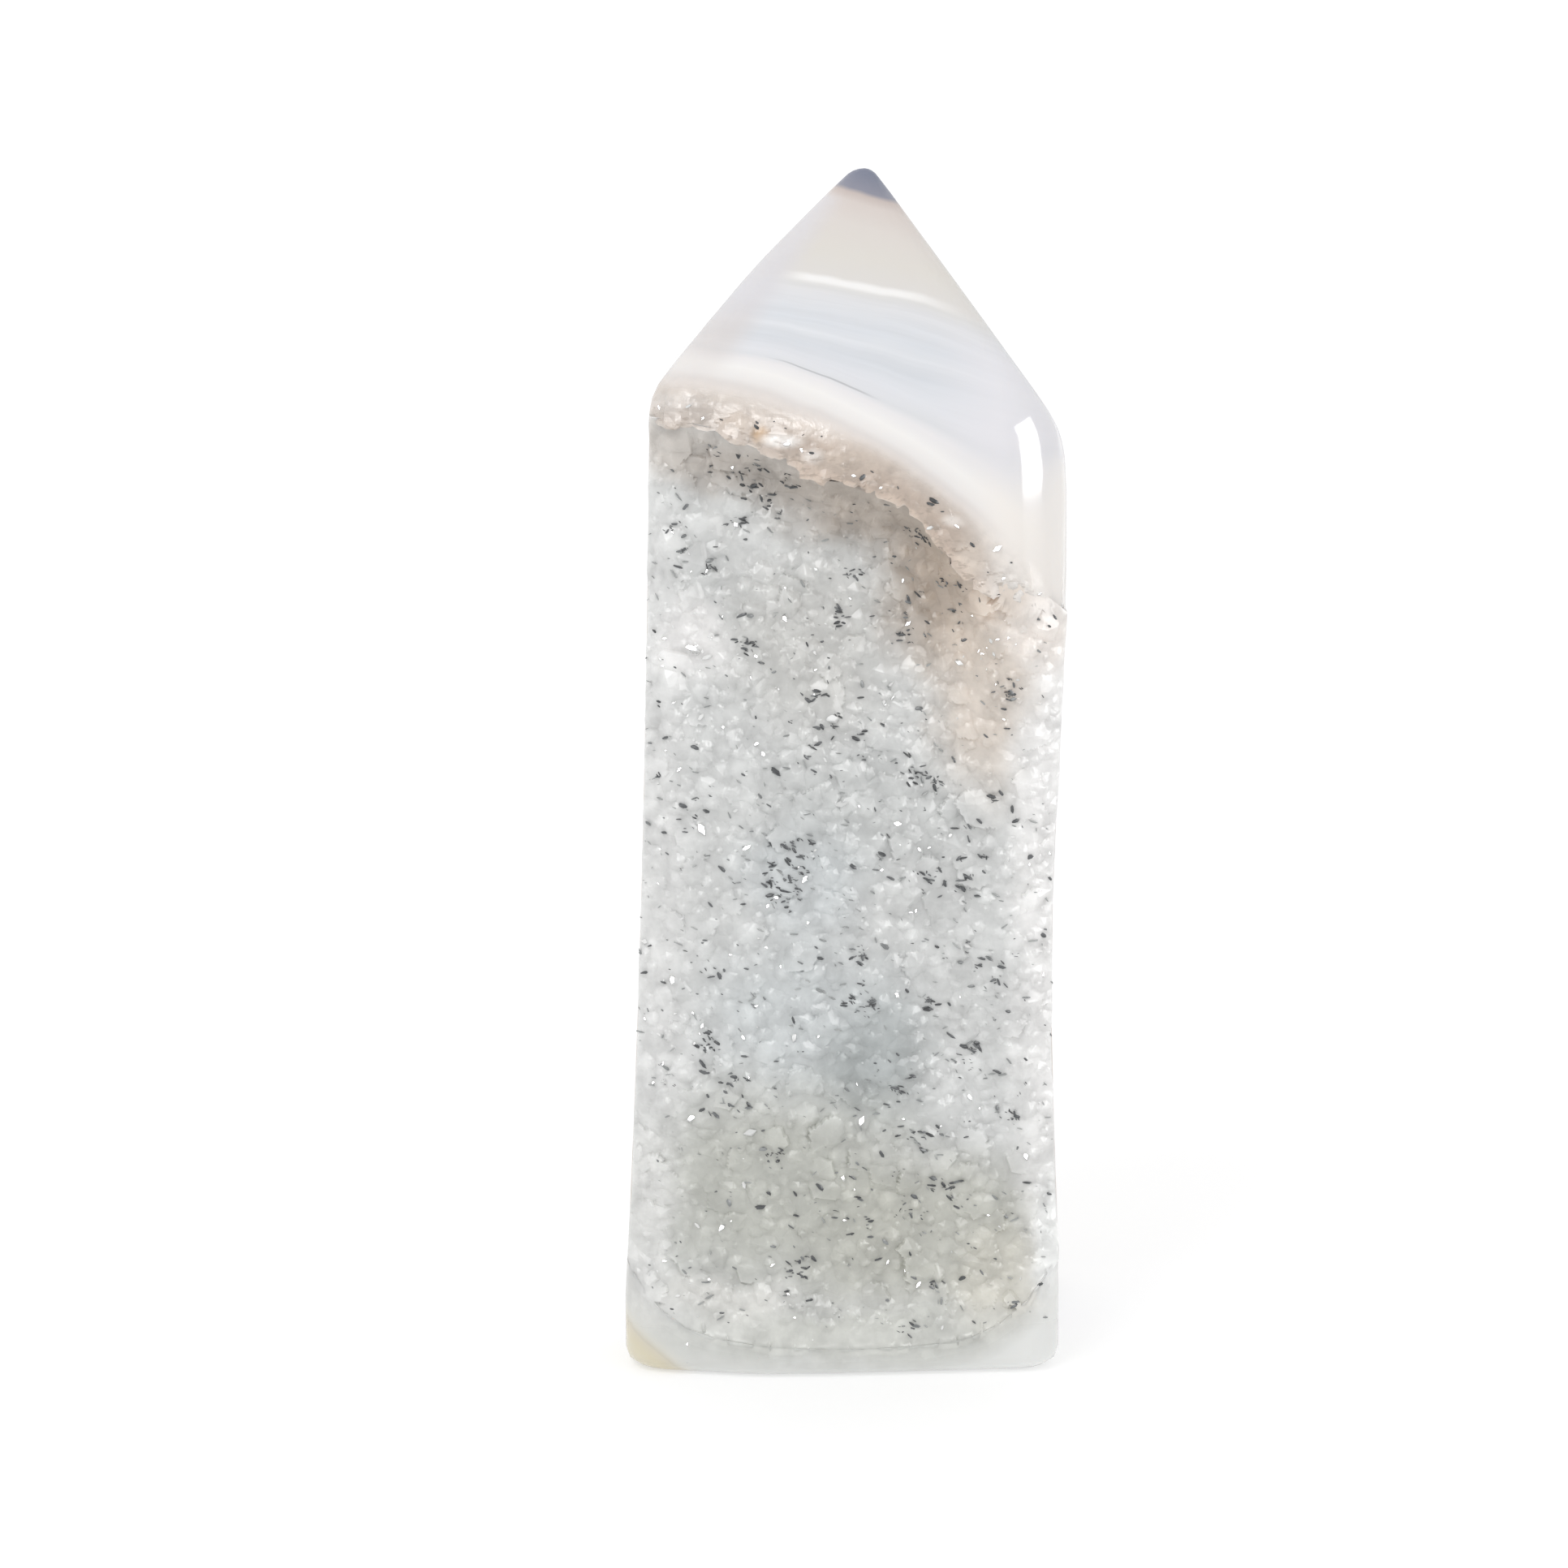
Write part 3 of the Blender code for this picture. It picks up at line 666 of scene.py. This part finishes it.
def crystalHeights(crystals, flat):
    # how high the crystals stand at each place (x, z) in mm, and the tone there: each has six sloping faces
    order = np.argsort(flat[:, 1])
    placed = flat[order]
    height, tone = np.zeros(len(flat)), np.full(len(flat), 0.5)
    widest = 2.6  # mm, no crystal reaches further
    for crystal in crystals:
        z = crystal["at"][1]
        first, last = np.searchsorted(placed[:, 1], (z - widest, z + widest))
        offset = placed[first:last] - crystal["at"]
        run = np.full(len(offset), -1.0)
        for angle in crystal["turn"] + np.arange(6) * math.pi / 3:
            across = offset[:, 0] * math.cos(angle) * crystal["wide"] + offset[:, 1] * math.sin(angle)
            run = np.maximum(run, across)
        rise = np.minimum(crystal["tip"] - crystal["slope"] * run, crystal["top"]) + offset @ crystal["lean"]
        higher = (rise > height[first:last]) & (run < crystal["reach"])
        height[first:last][higher] = rise[higher]
        tone[first:last][higher] = crystal["tone"]
    back = np.argsort(order)
    return height[back], tone[back]


def besideStone(edge, coords):
    # as offEdge, for the parts of an edge where the crust runs on over the stone without a step
    away, _, ways = offEdge(edge, coords)
    return np.where((edge == "sill") | (coords[:, 0] > rim["shutFrom"]), away, -9), ways


def featherBorder(bed, polish, front):
    # draws the crust's border out over the polish to an uneven thin edge, so that no line parts the two
    coords = placesOf(bed)
    sides = [{v for face in bed.data.polygons if front[face.index] == ahead for v in face.vertices}
             for ahead in (True, False)]
    border = np.array(sorted(sides[0] & sides[1]))
    for edge in ("lip", "sill"):
        away, ways = besideStone(edge, coords[border])
        for vertex, off, way in zip(border, away, ways):
            if abs(off) > rim["borderNear"]:
                continue
            x, z = coords[vertex, [0, 2]] + way * (random.uniform(*rim["feather"][edge]) - off)
            for inward in (0, 0.3, 0.6, 0.9):  # mm, until it meets the polish at about its own depth
                hit, normal = frontAt(polish, x - math.copysign(inward, x), z)
                if not hit or normal.y >= rim["facing"]:
                    continue
                if abs(hit.y / mm - coords[vertex, 1]) < rim["sameDepth"]:
                    coords[vertex] = np.array(hit) / mm + (0, rim["dive"], 0)
                    break
    moveTo(bed, coords)


def raiseCrystals(bed, polish, crystals):
    # raises the crystals out of the bed, lower toward the rims, where the bed comes to lie on the polish
    coords = placesOf(bed)
    inner = np.flatnonzero([v.select for v in bed.data.vertices])
    height, tone = crystalHeights(crystals, coords[inner][:, [0, 2]])
    lipOff = offEdge("lip", coords[inner])[0]
    hidden = (coords[inner, 0] < rim["shutFrom"]) & (lipOff > -1)
    height[hidden] *= np.clip(-lipOff[hidden], 0, 1)  # none stands out through the lip
    merge = np.zeros(len(coords))  # 1 where the bed has come to lie on the polish
    for edge in ("lip", "sill"):
        away, ways = besideStone(edge, coords[inner])
        merge[inner] = np.maximum(merge[inner], np.clip(away + 1.5, 0, 1))
        for k in np.flatnonzero(away > -rim["settle"]):
            x, z = coords[inner[k], [0, 2]] + ways[k] * max(0.3 - away[k], 0)
            hit = frontAt(polish, x, z)[0]
            if hit:
                sunk = rim["sink"] * min(max(-away[k], 0) / rim["settle"], 1) ** 2 - rim["lieOn"]
                coords[inner[k], 1] = min(coords[inner[k], 1], hit.y / mm + sunk)
        lower = (0.75 - away * 0.25, 0.3) if edge == "lip" else (-(away + 0.3) / 2.4, 0.1)
        height *= np.clip(*lower, 1)
    out = np.array([v.normal for v in bed.data.vertices])[inner] * 0.5 + (0, -0.5, 0)
    coords[inner] += out / np.linalg.norm(out, axis=1)[:, None] * height[:, None]
    moveTo(bed, coords)
    for edge in ("lip", "sill"):
        merge = np.maximum(merge, np.clip(besideStone(edge, coords)[0] + 1.5, 0, 1))
    tones = np.full(len(coords), 0.5)
    tones[inner] = tone
    keepValues(bed, tone=tones, thin=merge)
    pick(bed)
    bpy.ops.object.shade_smooth_by_angle(angle=creaseAngle)
    for face in bed.data.polygons:  # crystals have flat faces, and only the thin border is smooth
        face.use_smooth = all(merge[k] > 0.9 for k in face.vertices)
    onPolish = []
    for k in np.flatnonzero(merge > 0.9):
        _, normal, _, off = polish.find_nearest(Vector(coords[k] * mm))
        if off < 0.2 * mm and normal.y < rim["facing"]:
            onPolish.append(int(k))
    bed.vertex_groups.new(name="polished").add(onPolish, 1, "REPLACE")
    print("faces in the bed:", len(bed.data.polygons))


def sideLimits(polish):
    # the x in mm of the polished sides at each height, so that no crystal stands out of them
    heights = np.arange(1, druzy["high"], 1.0)
    sides = []
    for way in (1, -1):
        starts = [Vector((-way * 30 * mm, -5 * mm, z * mm)) for z in heights]
        sides.append(np.array([polish.ray_cast(start, Vector((way, 0, 0)))[0].x / mm for start in starts]))
    return heights, *sides


def keepInside(piece, limits):
    coords = placesOf(piece)
    heights, left, right = limits
    low, high = [np.interp(coords[:, 2], heights, side) for side in (left, right)]
    coords[:, 0] = np.clip(coords[:, 0], low, high)
    coords[:, 1] = np.maximum(coords[:, 1], cadLow.y / mm + 0.002)
    moveTo(piece, coords)


rim = {
    # the edges of the hollow as (x, z) in mm, as in the CAD
    "lip": [(-16.4, 80.2), (-10.5, 79.2), (-5, 77.0), (0.8, 74.9), (5, 73.2), (8.2, 69.6), (11, 66.6),
            (14, 65.2), (18.2, 63.8)],
    "sill": [(-18.3, 9.4), (-15.2, 6.0), (-12, 4.0), (-2.6, 2.9), (7, 3.0), (11.5, 3.9), (14.6, 6.0),
             (16.6, 8.6), (18.4, 10.6)],
    "shutFrom": 12.5,  # from this x on, in mm, the lip has no overhang
    "raise": ((-17, 0.4), (-8, 0.8)),  # (x, mm that the lip is carried up)
    "raiseReach": 5.0,  # mm above and below it that move along
    "cutFrom": (-10.5, 88),  # y and z in mm: the stone's front beside the rims lies before and below these
    "longest": 0.24,  # mm, no edge beside the rims is longer
    "over": {"lip": 3.4, "sill": 2.8}, "proud": 1.1,  # mm that crystals reach over the stone, and how high
    "facing": -0.4,  # y of the normals of polish that looks to the front is less
    "feather": {"lip": (0.7, 2.1), "sill": (0.7, 1.5)},  # mm that the crust's thin border lies over the stone
    "borderNear": 1.3, "sameDepth": 0.7, "dive": 0.12,  # mm, what counts as border and how deep it dives
    "settle": 1.2, "sink": 0.4, "lieOn": 0.04,  # mm before a rim, below the polish there, above it at last
    "room": 0.07,  # mm that the stone gives way at the sill for that border
    "smooth": 0.03, "polishFrom": -12,  # what is less broken is smooth, and its shine is copied before this y
    "flakes": 60, "flakeWide": (0.3, 0.9), "flakeDrop": (0.1, 0.6), "flakeThick": 1.2,  # mm, bits of the lip
    "flakeNear": 0.9, "flakeFrom": -0.4,  # mm from the lip that are drawn down with them
    "bigFlakes": [(-11.5, 0.8, 0.4), (-8.4, 0.7, 0.5), (-6.2, 0.7, 0.8), (-4.0, 0.7, 0.7), (-2.3, 1.3, 1.4),
                  (-0.7, 0.5, 0.5), (0.5, 0.7, 0.4), (2.0, 0.4, 0.5), (3.6, 1.2, 0.9), (5.6, 0.4, 0.5),
                  (7.3, 0.8, 0.8), (8.4, 0.4, 0.6), (9.6, 0.9, 1.1), (11.6, 1.1, 0.9)],  # x, half width, drop
}


def lipAt(x):
    # the height of the lip in the CAD, and how much higher it is in the photo
    return np.interp(x, *np.array(rim["lip"]).T), np.interp(x, *np.array(rim["raise"]).T)


def raiseLip(piece, polish=None):
    # carries the lip up to where the photo has it, and keeps what is polished on its old face
    coords = placesOf(piece)
    height, lift = lipAt(coords[:, 0])
    share = np.clip(1 - np.abs(coords[:, 2] - height) / rim["raiseReach"], 0, 1)
    lift = lift * share * share * (3 - 2 * share) * np.clip((-2 - coords[:, 1]) / 4, 0, 1)
    coords[:, 2] += lift
    for vertex in np.flatnonzero(lift > 0.01) if polish else ():
        spot, _, _, off = polish.find_nearest(Vector(coords[vertex] * mm))
        if off < 0.6 * mm:
            coords[vertex] = np.array(spot) / mm
    moveTo(piece, coords)


def edgeLine(edge):
    # points every 0.1 mm along an edge, and the way at each that leads from the hollow onto the stone
    line = np.array(rim[edge], float)
    if edge == "lip":
        line[:, 1] += lipAt(line[:, 0])[1]
    along = np.concatenate(([0], np.cumsum(np.hypot(*np.diff(line, axis=0).T))))
    reach = np.arange(0, along[-1], 0.1)
    x, z = [sum(np.interp(reach + shift, along, line[:, side]) for shift in (-0.6, 0, 0.6)) / 3
            for side in (0, 1)]  # each corner rounded over 1.2 mm
    ways = np.column_stack((-np.gradient(z), np.gradient(x))) * (1 if edge == "lip" else -1)
    return np.column_stack((x, z)), ways / np.linalg.norm(ways, axis=1)[:, None]


def offEdge(edge, coords):
    # for each place the mm from the edge, more than 0 on the stone, the edge's nearest point and its way
    points, ways = edgeLine(edge)
    flat = coords[:, [0, 2]]
    nearest = np.array([np.argmin(((points - spot) ** 2).sum(1)) for spot in flat])
    gap = flat - points[nearest]
    side = np.sign((gap * ways[nearest]).sum(1))
    return side * np.hypot(*gap.T), nearest, ways[nearest]


def frontOf(coords):
    return (coords[:, 1] < rim["cutFrom"][0]) & (coords[:, 2] < rim["cutFrom"][1])


def cutFine(piece):
    # halves the edges that touch the front beside a rim, until none of them is long
    mesh = piece.data
    for _ in range(8):
        coords = placesOf(piece)
        ends = np.array([e.vertices for e in mesh.edges])
        middle = coords[ends].mean(axis=1)
        span = np.linalg.norm(coords[ends[:, 0]] - coords[ends[:, 1]], axis=1)
        front = frontOf(coords)
        close = np.zeros(len(coords), bool)
        for edge, over in rim["over"].items():
            close[front] |= np.abs(offEdge(edge, coords[front])[0]) < over
        wanted = (close[ends[:, 0]] | close[ends[:, 1]]) & (span > rim["longest"]) & (middle[:, 1] < -10)
        if not wanted.any():
            break
        editChosen(piece, "EDGE", wanted)
        bpy.ops.mesh.subdivide(number_cuts=1)
        setMode("OBJECT")
    print("faces in the stone:", len(mesh.polygons))


def hangingFlakes(across):
    # how far the broken lip hangs down at each x: flakes side by side, each with sloping ends
    flakes = [(random.uniform(across[0], across[-1]), random.uniform(*rim["flakeWide"]),
               random.uniform(*rim["flakeDrop"])) for _ in range(rim["flakes"])]
    drop = np.full(len(across), 0.05)
    for middle, wide, deep in flakes + rim["bigFlakes"]:
        steep = random.uniform(1.5, 2.8) if deep < rim["flakeDrop"][1] else 4
        share = np.clip((1 - np.abs(across - middle) / wide) * steep, 0, 1)
        drop = np.maximum(drop, share * deep)
    return drop


def breakRims(stone, polish, crystals):
    # beside the lip crystals stand out of the stone, ground down further off, and flakes hang from it; at
    # the sill the stone only takes on the crust's look, and makes room for its border
    mesh = stone.data
    coords = placesOf(stone)
    normals = np.array([v.normal for v in mesh.vertices])
    tone, broken, frost, rugged = np.full(len(coords), 0.5), *np.zeros((3, len(coords)))
    front = np.flatnonzero(frontOf(coords))
    moved = coords.copy()
    heights, tones = crystalHeights(crystals, coords[front][:, [0, 2]])
    for edge, share in (("lip", broken), ("sill", frost)):
        away, nearest, ways = offEdge(edge, coords[front])
        onto = coords[front][:, [0, 2]] + np.maximum(0.5 - away, 0)[:, None] * ways
        faces = [frontAt(polish, x, z)[0] for x, z in onto]
        behind = np.array([c[1] - f.y / mm if f else 9 for c, f in zip(coords[front], faces)])
        onFace = (behind < 0.3) & (away > -0.15)
        near = front[onFace]
        share[near] = np.clip(1 - away[onFace] / rim["over"][edge], 0, 1)
        level = np.clip((0.6 - np.abs(normals[near, 0])) / 0.2, 0, 1)  # less on the rounded sides
        tone[near] = np.where(share[near] > 0, tones[onFace], tone[near])
        if edge == "sill":
            room = cadLow.y / mm + rim["room"] * np.minimum(share[near] * 3, 1)
            moved[near, 1] = np.maximum(moved[near, 1], room)
        else:
            rugged[near] = share[near] * level
            rise = rim["proud"] * heights[onFace] * share[near] ** 1.1 * level
            moved[near] += normals[near] * rise[:, None]
            drop = hangingFlakes(edgeLine(edge)[0][:, 0])[nearest]
            hangs = drop * np.clip(1 - np.maximum(behind, 0) / rim["flakeThick"], 0, 1)
            hangs *= np.clip(1 - np.abs(away) / rim["flakeNear"], 0, 1)
            hangs[away < rim["flakeFrom"]] = 0
            # the hanging flakes get a high tone, which paints a highlight along the lip's lower rim
            tone[front] = np.where(hangs > 0.2, 0.9, tone[front])
            moved[front, 0] -= ways[:, 0] * hangs
            moved[front, 2] -= ways[:, 1] * hangs
    moved[:, 0] = np.clip(moved[:, 0], cadLow.x / mm, cadHigh.x / mm)
    moved[:, 1] = np.maximum(moved[:, 1], cadLow.y / mm)
    moveTo(stone, moved)
    keepValues(stone, tone=tone, broken=broken, frost=frost ** 0.7)
    pick(stone)
    bpy.ops.object.shade_smooth_by_angle(angle=creaseAngle)
    for face in mesh.polygons:
        face.use_smooth = not all(rugged[k] > rim["smooth"] for k in face.vertices)
    # what is cut fine but still polished, for copyShine
    plain = (rugged <= rim["smooth"]) & (coords[:, 1] < rim["polishFrom"]) & (normals[:, 1] < rim["facing"])
    plain[[k for edge in mesh.edges if edge.use_edge_sharp for k in edge.vertices]] = False
    group = stone.vertex_groups.new(name="polished")
    group.add([int(k) for k in np.flatnonzero(plain)], 1, "REPLACE")


def applyModifier(piece, kind, **settings):
    made = piece.modifiers.new(kind, kind)
    setAll(made, settings)
    pick(piece)
    bpy.ops.object.modifier_apply(modifier=made.name)


def weighNormals(piece):
    # large faces keep their shine flat, and the roundings between them take all the bending
    applyModifier(piece, "WEIGHTED_NORMAL", keep_sharp=True, weight=80)


def copyShine(*pieces):
    # what is finely cut or thin, but polished, takes the smooth shine of the whole stone
    model = mergedCopy("agate_tower", "shineModel")
    bpy.ops.object.shade_smooth_by_angle(angle=creaseAngle)
    weighNormals(model)
    for piece in pieces:
        applyModifier(piece, "DATA_TRANSFER", object=model, use_loop_data=True, vertex_group="polished",
                      data_types_loops={"CUSTOM_NORMAL"}, loop_mapping="POLYINTERP_NEAREST")
    bpy.data.objects.remove(model, do_unlink=True)


glints = {
    "chosen": [  # the largest faces that flash: (x, z, length in mm)
        (-0.2, 49.3, 1.3), (-1.0, 56.3, 1.2), (-11.7, 47.1, 1.3), (-8.0, 45.5, 1.0), (-16.5, 37.1, 0.8),
        (-4.1, 29.6, 0.9), (-7.8, 21.3, 1.2), (-12.7, 22.3, 0.9), (1.5, 22.3, 0.9), (-10.2, 12.7, 0.9),
        (-12.3, 12.7, 0.7), (-14.2, 34.1, 0.8), (10.2, 37.1, 0.8), (-12.4, 62.0, 1.3), (-11.2, 61.2, 1.0),
        (-3.2, 43.0, 0.8), (-6.6, 53.3, 0.6), (12.5, 70.5, 0.9), (12.0, 65.0, 1.2), (9.5, 60.5, 0.8),
        (-15.0, 81.7, 0.5), (-12.6, 81.9, 0.6), (-11.4, 81.0, 0.4), (-4.6, 79.1, 0.7), (-3.4, 78.6, 0.5),
        (0.8, 76.6, 0.5), (9.2, 72.4, 0.6), (3.0, 75.6, 0.4),
    ],
    "clusters": [  # (x, z, spread, how many) of small ones
        (-2.0, 60.0, 3.0, 16), (-15.5, 70.0, 2.0, 10), (-14.0, 28.0, 3.0, 12), (12.5, 60.0, 3.0, 14),
        (-12.0, 61.5, 1.6, 12), (-11.0, 7.5, 4.0, 14), (13.0, 45.0, 3.0, 8), (0.0, 40.0, 6.0, 12),
    ],
    "small": (0.2, 0.55), "heights": (4, 78),  # mm
    "scattered": 90, "stray": 2,  # degrees off the exact way that flashes
}


def addGlints(ground, limits):
    # clear crystal faces that happen to lean the right way to flash the lamp
    masters = [quartzFace("faceA", 4, 0.04, 0.9, 0), quartzFace("faceB", 5, 0.06, 0.8, 0.05)]
    lamp = Vector(studio["spark"]["at"]) * mm
    spots = list(glints["chosen"])
    for x, z, spread, count in glints["clusters"]:
        spots += [(random.gauss(x, spread), random.gauss(z, spread), random.uniform(*glints["small"]))
                  for _ in range(count)]
    for _ in range(glints["scattered"]):
        x, z = random.uniform(*druzy["across"]), random.uniform(*glints["heights"])
        spots.append((x, z, 0.2 + 0.6 * random.random() ** 3))
    places = []
    for x, z, size in spots:
        hit, normal = frontAt(ground, x, z)
        if hit is None or normal.y > -0.15:
            continue
        out = ((lamp - hit).normalized() + (eye - hit).normalized()).normalized()
        stray = math.radians(glints["stray"])
        out += Vector((random.gauss(0, stray), 0, random.gauss(0, stray)))
        matrix = standOn(hit + Vector((0, -0.1 * size * mm, 0)), out, size, random.uniform(0.3, 0.6), 0.8)
        places.append((random.randrange(2), matrix, random.random()))
    faces = copies("brightFaces", masters, places)
    keepInside(faces, limits)
    print("faces that flash:", len(places))
    return faces


grains = {
    "clusters": [  # where the dark grains gather: (x, z, spread in mm, how many)
        (-6.8, 75.6, 3.2, 34), (6.0, 71.0, 1.0, 14), (-8.9, 72.0, 0.7, 7), (-13.8, 72.0, 0.8, 6),
        (-13.2, 70.0, 0.6, 5), (-11.2, 68.2, 0.6, 4), (-5.3, 72.6, 0.6, 4), (0.4, 67.8, 0.7, 4),
        (-0.3, 64.4, 0.9, 8), (-7.9, 62.0, 1.1, 12), (4.7, 62.7, 0.9, 6), (13.2, 58.3, 1.2, 12),
        (-2.6, 58.0, 0.7, 6), (5.9, 51.6, 0.8, 12), (7.7, 50.9, 0.9, 10), (12.3, 49.5, 0.6, 4),
        (-4.0, 45.4, 1.4, 18), (-5.0, 42.6, 2.4, 34), (1.5, 36.6, 0.8, 10), (1.5, 32.3, 1.6, 18),
        (7.0, 32.3, 0.9, 10), (10.5, 27.6, 1.5, 18), (-11.2, 29.1, 1.2, 14), (-10.0, 24.6, 2.2, 18),
        (4.3, 25.0, 1.2, 14), (14.1, 22.2, 0.8, 9), (6.1, 21.1, 1.0, 9), (-5.7, 19.4, 1.1, 10),
        (8.8, 16.4, 1.3, 11), (-3.9, 9.4, 1.1, 12), (7.5, 7.7, 0.7, 6), (14.5, 5.9, 0.5, 3),
        (5.6, 4.4, 0.9, 6), (-1.0, 55.0, 5.0, 24), (9.0, 44.0, 4.0, 24), (-12.0, 50.0, 3.5, 10),
        (-13.0, 36.0, 3.0, 10), (8.0, 64.0, 4.0, 16), (2.0, 14.0, 6.0, 24), (12.0, 36.0, 3.5, 16),
    ],
    "onLip": [(-7.1, 80.4), (-7.0, 80.7), (-5.6, 80.8), (-4.7, 80.3), (-3.3, 79.8), (-1.8, 79.7),
              (7.3, 74.5), (7.1, 74.2), (8.0, 73.6), (13.6, 69.3), (17.3, 64.5), (-9.9, 80.9), (-2.6, 78.4),
              (1.6, 76.5), (2.3, 76.9), (4.4, 75.6), (10.4, 70.9), (11.7, 68.6)],
    "loose": [(380, (0.1, 0.7), (0.35, 1)), (480, (0.6, 1), (0.3, 0.5))],  # how many, tone, thickness
    "heights": (4, 79),
    "shortest": 0.24, "longest": 0.95, "bareFrom": 0.6,  # mm, and how far below the lip they start
}


def scatterGrains(ground, limits):
    masters = [darkShard("shard" + str(seed), seed) for seed in (3, 8, 21, 34, 55)]
    spots = []
    for x, z, spread, count in grains["clusters"]:
        for _ in range(count):
            spot = [random.gauss(x, spread * 0.6), random.gauss(z, spread * 0.5)]
            for _ in range(random.choice((1, 1, 2, 2, 3))):  # some lie in clumps
                spots.append((*spot, random.uniform(0, 0.5), random.uniform(0.3, 0.9)))
                spot = [spot[0] + random.gauss(0, 0.2), spot[1] + random.gauss(0, 0.16)]
    for count, tones, thick in grains["loose"]:
        spots += [tuple(random.uniform(*span) for span in (druzy["across"], grains["heights"], tones, thick))
                  for _ in range(count)]
    spots = [s for s in spots if s[1] < sum(lipAt(s[0])) - grains["bareFrom"]]
    spots += [(x, z, random.uniform(0, 0.2), random.uniform(0.6, 1.1)) for x, z in grains["onLip"]]
    places = []
    for x, z, tone, thick in spots:
        hit, normal = frontAt(ground, x, z)
        if hit is None or normal.y > -0.1:
            continue
        length = grains["shortest"] + (grains["longest"] - grains["shortest"]) * random.random() ** 2.2
        slant = math.radians(random.gauss(20, 30))  # most of them lie down to the right
        lie = Matrix.Rotation(slant, 4, "Y") @ Matrix.Rotation(random.gauss(0, 0.3), 4, "Z")
        grow = Matrix.Diagonal((length * mm, length * 0.7 * mm, length * thick * mm, 1))
        which = random.randrange(len(masters))
        sunk = Matrix.Translation(hit + Vector((0, 0.05 * length * mm, 0)))
        places.append((which, sunk @ lie @ grow, tone))
    shards = copies("darkGrains", masters, places)
    keepInside(shards, limits)
    print("dark grains:", len(places))
    return shards


def druzyQuartz():
    # Small quartz crystals as they grew, never polished: milky bodies that light spreads in, with dull faces.
    material, tree, shader = newMaterial("druzy quartz")
    colour = druzyColour(tree, placeInMm(tree))
    sinks = addNode(tree, "MapRange", between(vertexValue(tree, "thin"), 0, 1, 0.7, 0))  # none in a thin edge
    feed(tree, shader, {
        "Base Color": colour, "Roughness": 0.42, "IOR": quartzIndex,
        "Subsurface Weight": sinks, "Subsurface Radius": (1.3, 1.3, 1.3), "Subsurface Scale": 1 * mm,
    })
    return material


def tonedMaterial(name, stops, roughness, bends):
    # a plain material whose colour goes with each copy's tone
    material, tree, shader = newMaterial(name)
    colour = rampOf(tree, vertexValue(tree, "tone"), stops)
    feed(tree, shader, {"Base Color": colour, "Roughness": roughness, "IOR": bends})
    return material


def clearQuartz():
    # Clean crystal faces, as smooth as glass, that mirror a lamp sharply.
    return tonedMaterial("clear quartz face", [(0.0, "#cfd0cf"), (1.0, "#e6e6e5")], 0.06, quartzIndex)


def darkOre():
    # Iron and manganese ore shut in the quartz: near black where it lies bare, greyer under milky quartz.
    greys = [(0.0, "#313335"), (0.35, "#5a5d5f"), (0.6, "#868989"), (1.0, "#adafae")]
    return tonedMaterial("dark ore in quartz", greys, 0.45, 1.6)


stone = mergedCopy("agate_tower", "polishedStone")
polish = surfaceOf(stone)
limits = sideLimits(polish)
crystals = plantCrystals()
bed = makeBed(polish, crystals)
keepInside(bed, limits)
raiseLip(stone, polish)
cutFine(stone)
breakRims(stone, polish, crystals)
weighNormals(stone)
copyShine(stone, bed)
print("the stone and its crust are shaped")
ground = surfaceOf(bed, stone)
bright = addGlints(ground, limits)
shards = scatterGrains(ground, limits)
for piece, look in ((stone, polishedAgate), (bed, druzyQuartz), (bright, clearQuartz), (shards, darkOre)):
    piece.data.materials.append(look())
    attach(piece, "root")
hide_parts("agate_tower")
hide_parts("druzy_crust")
print("the druzy has grown")
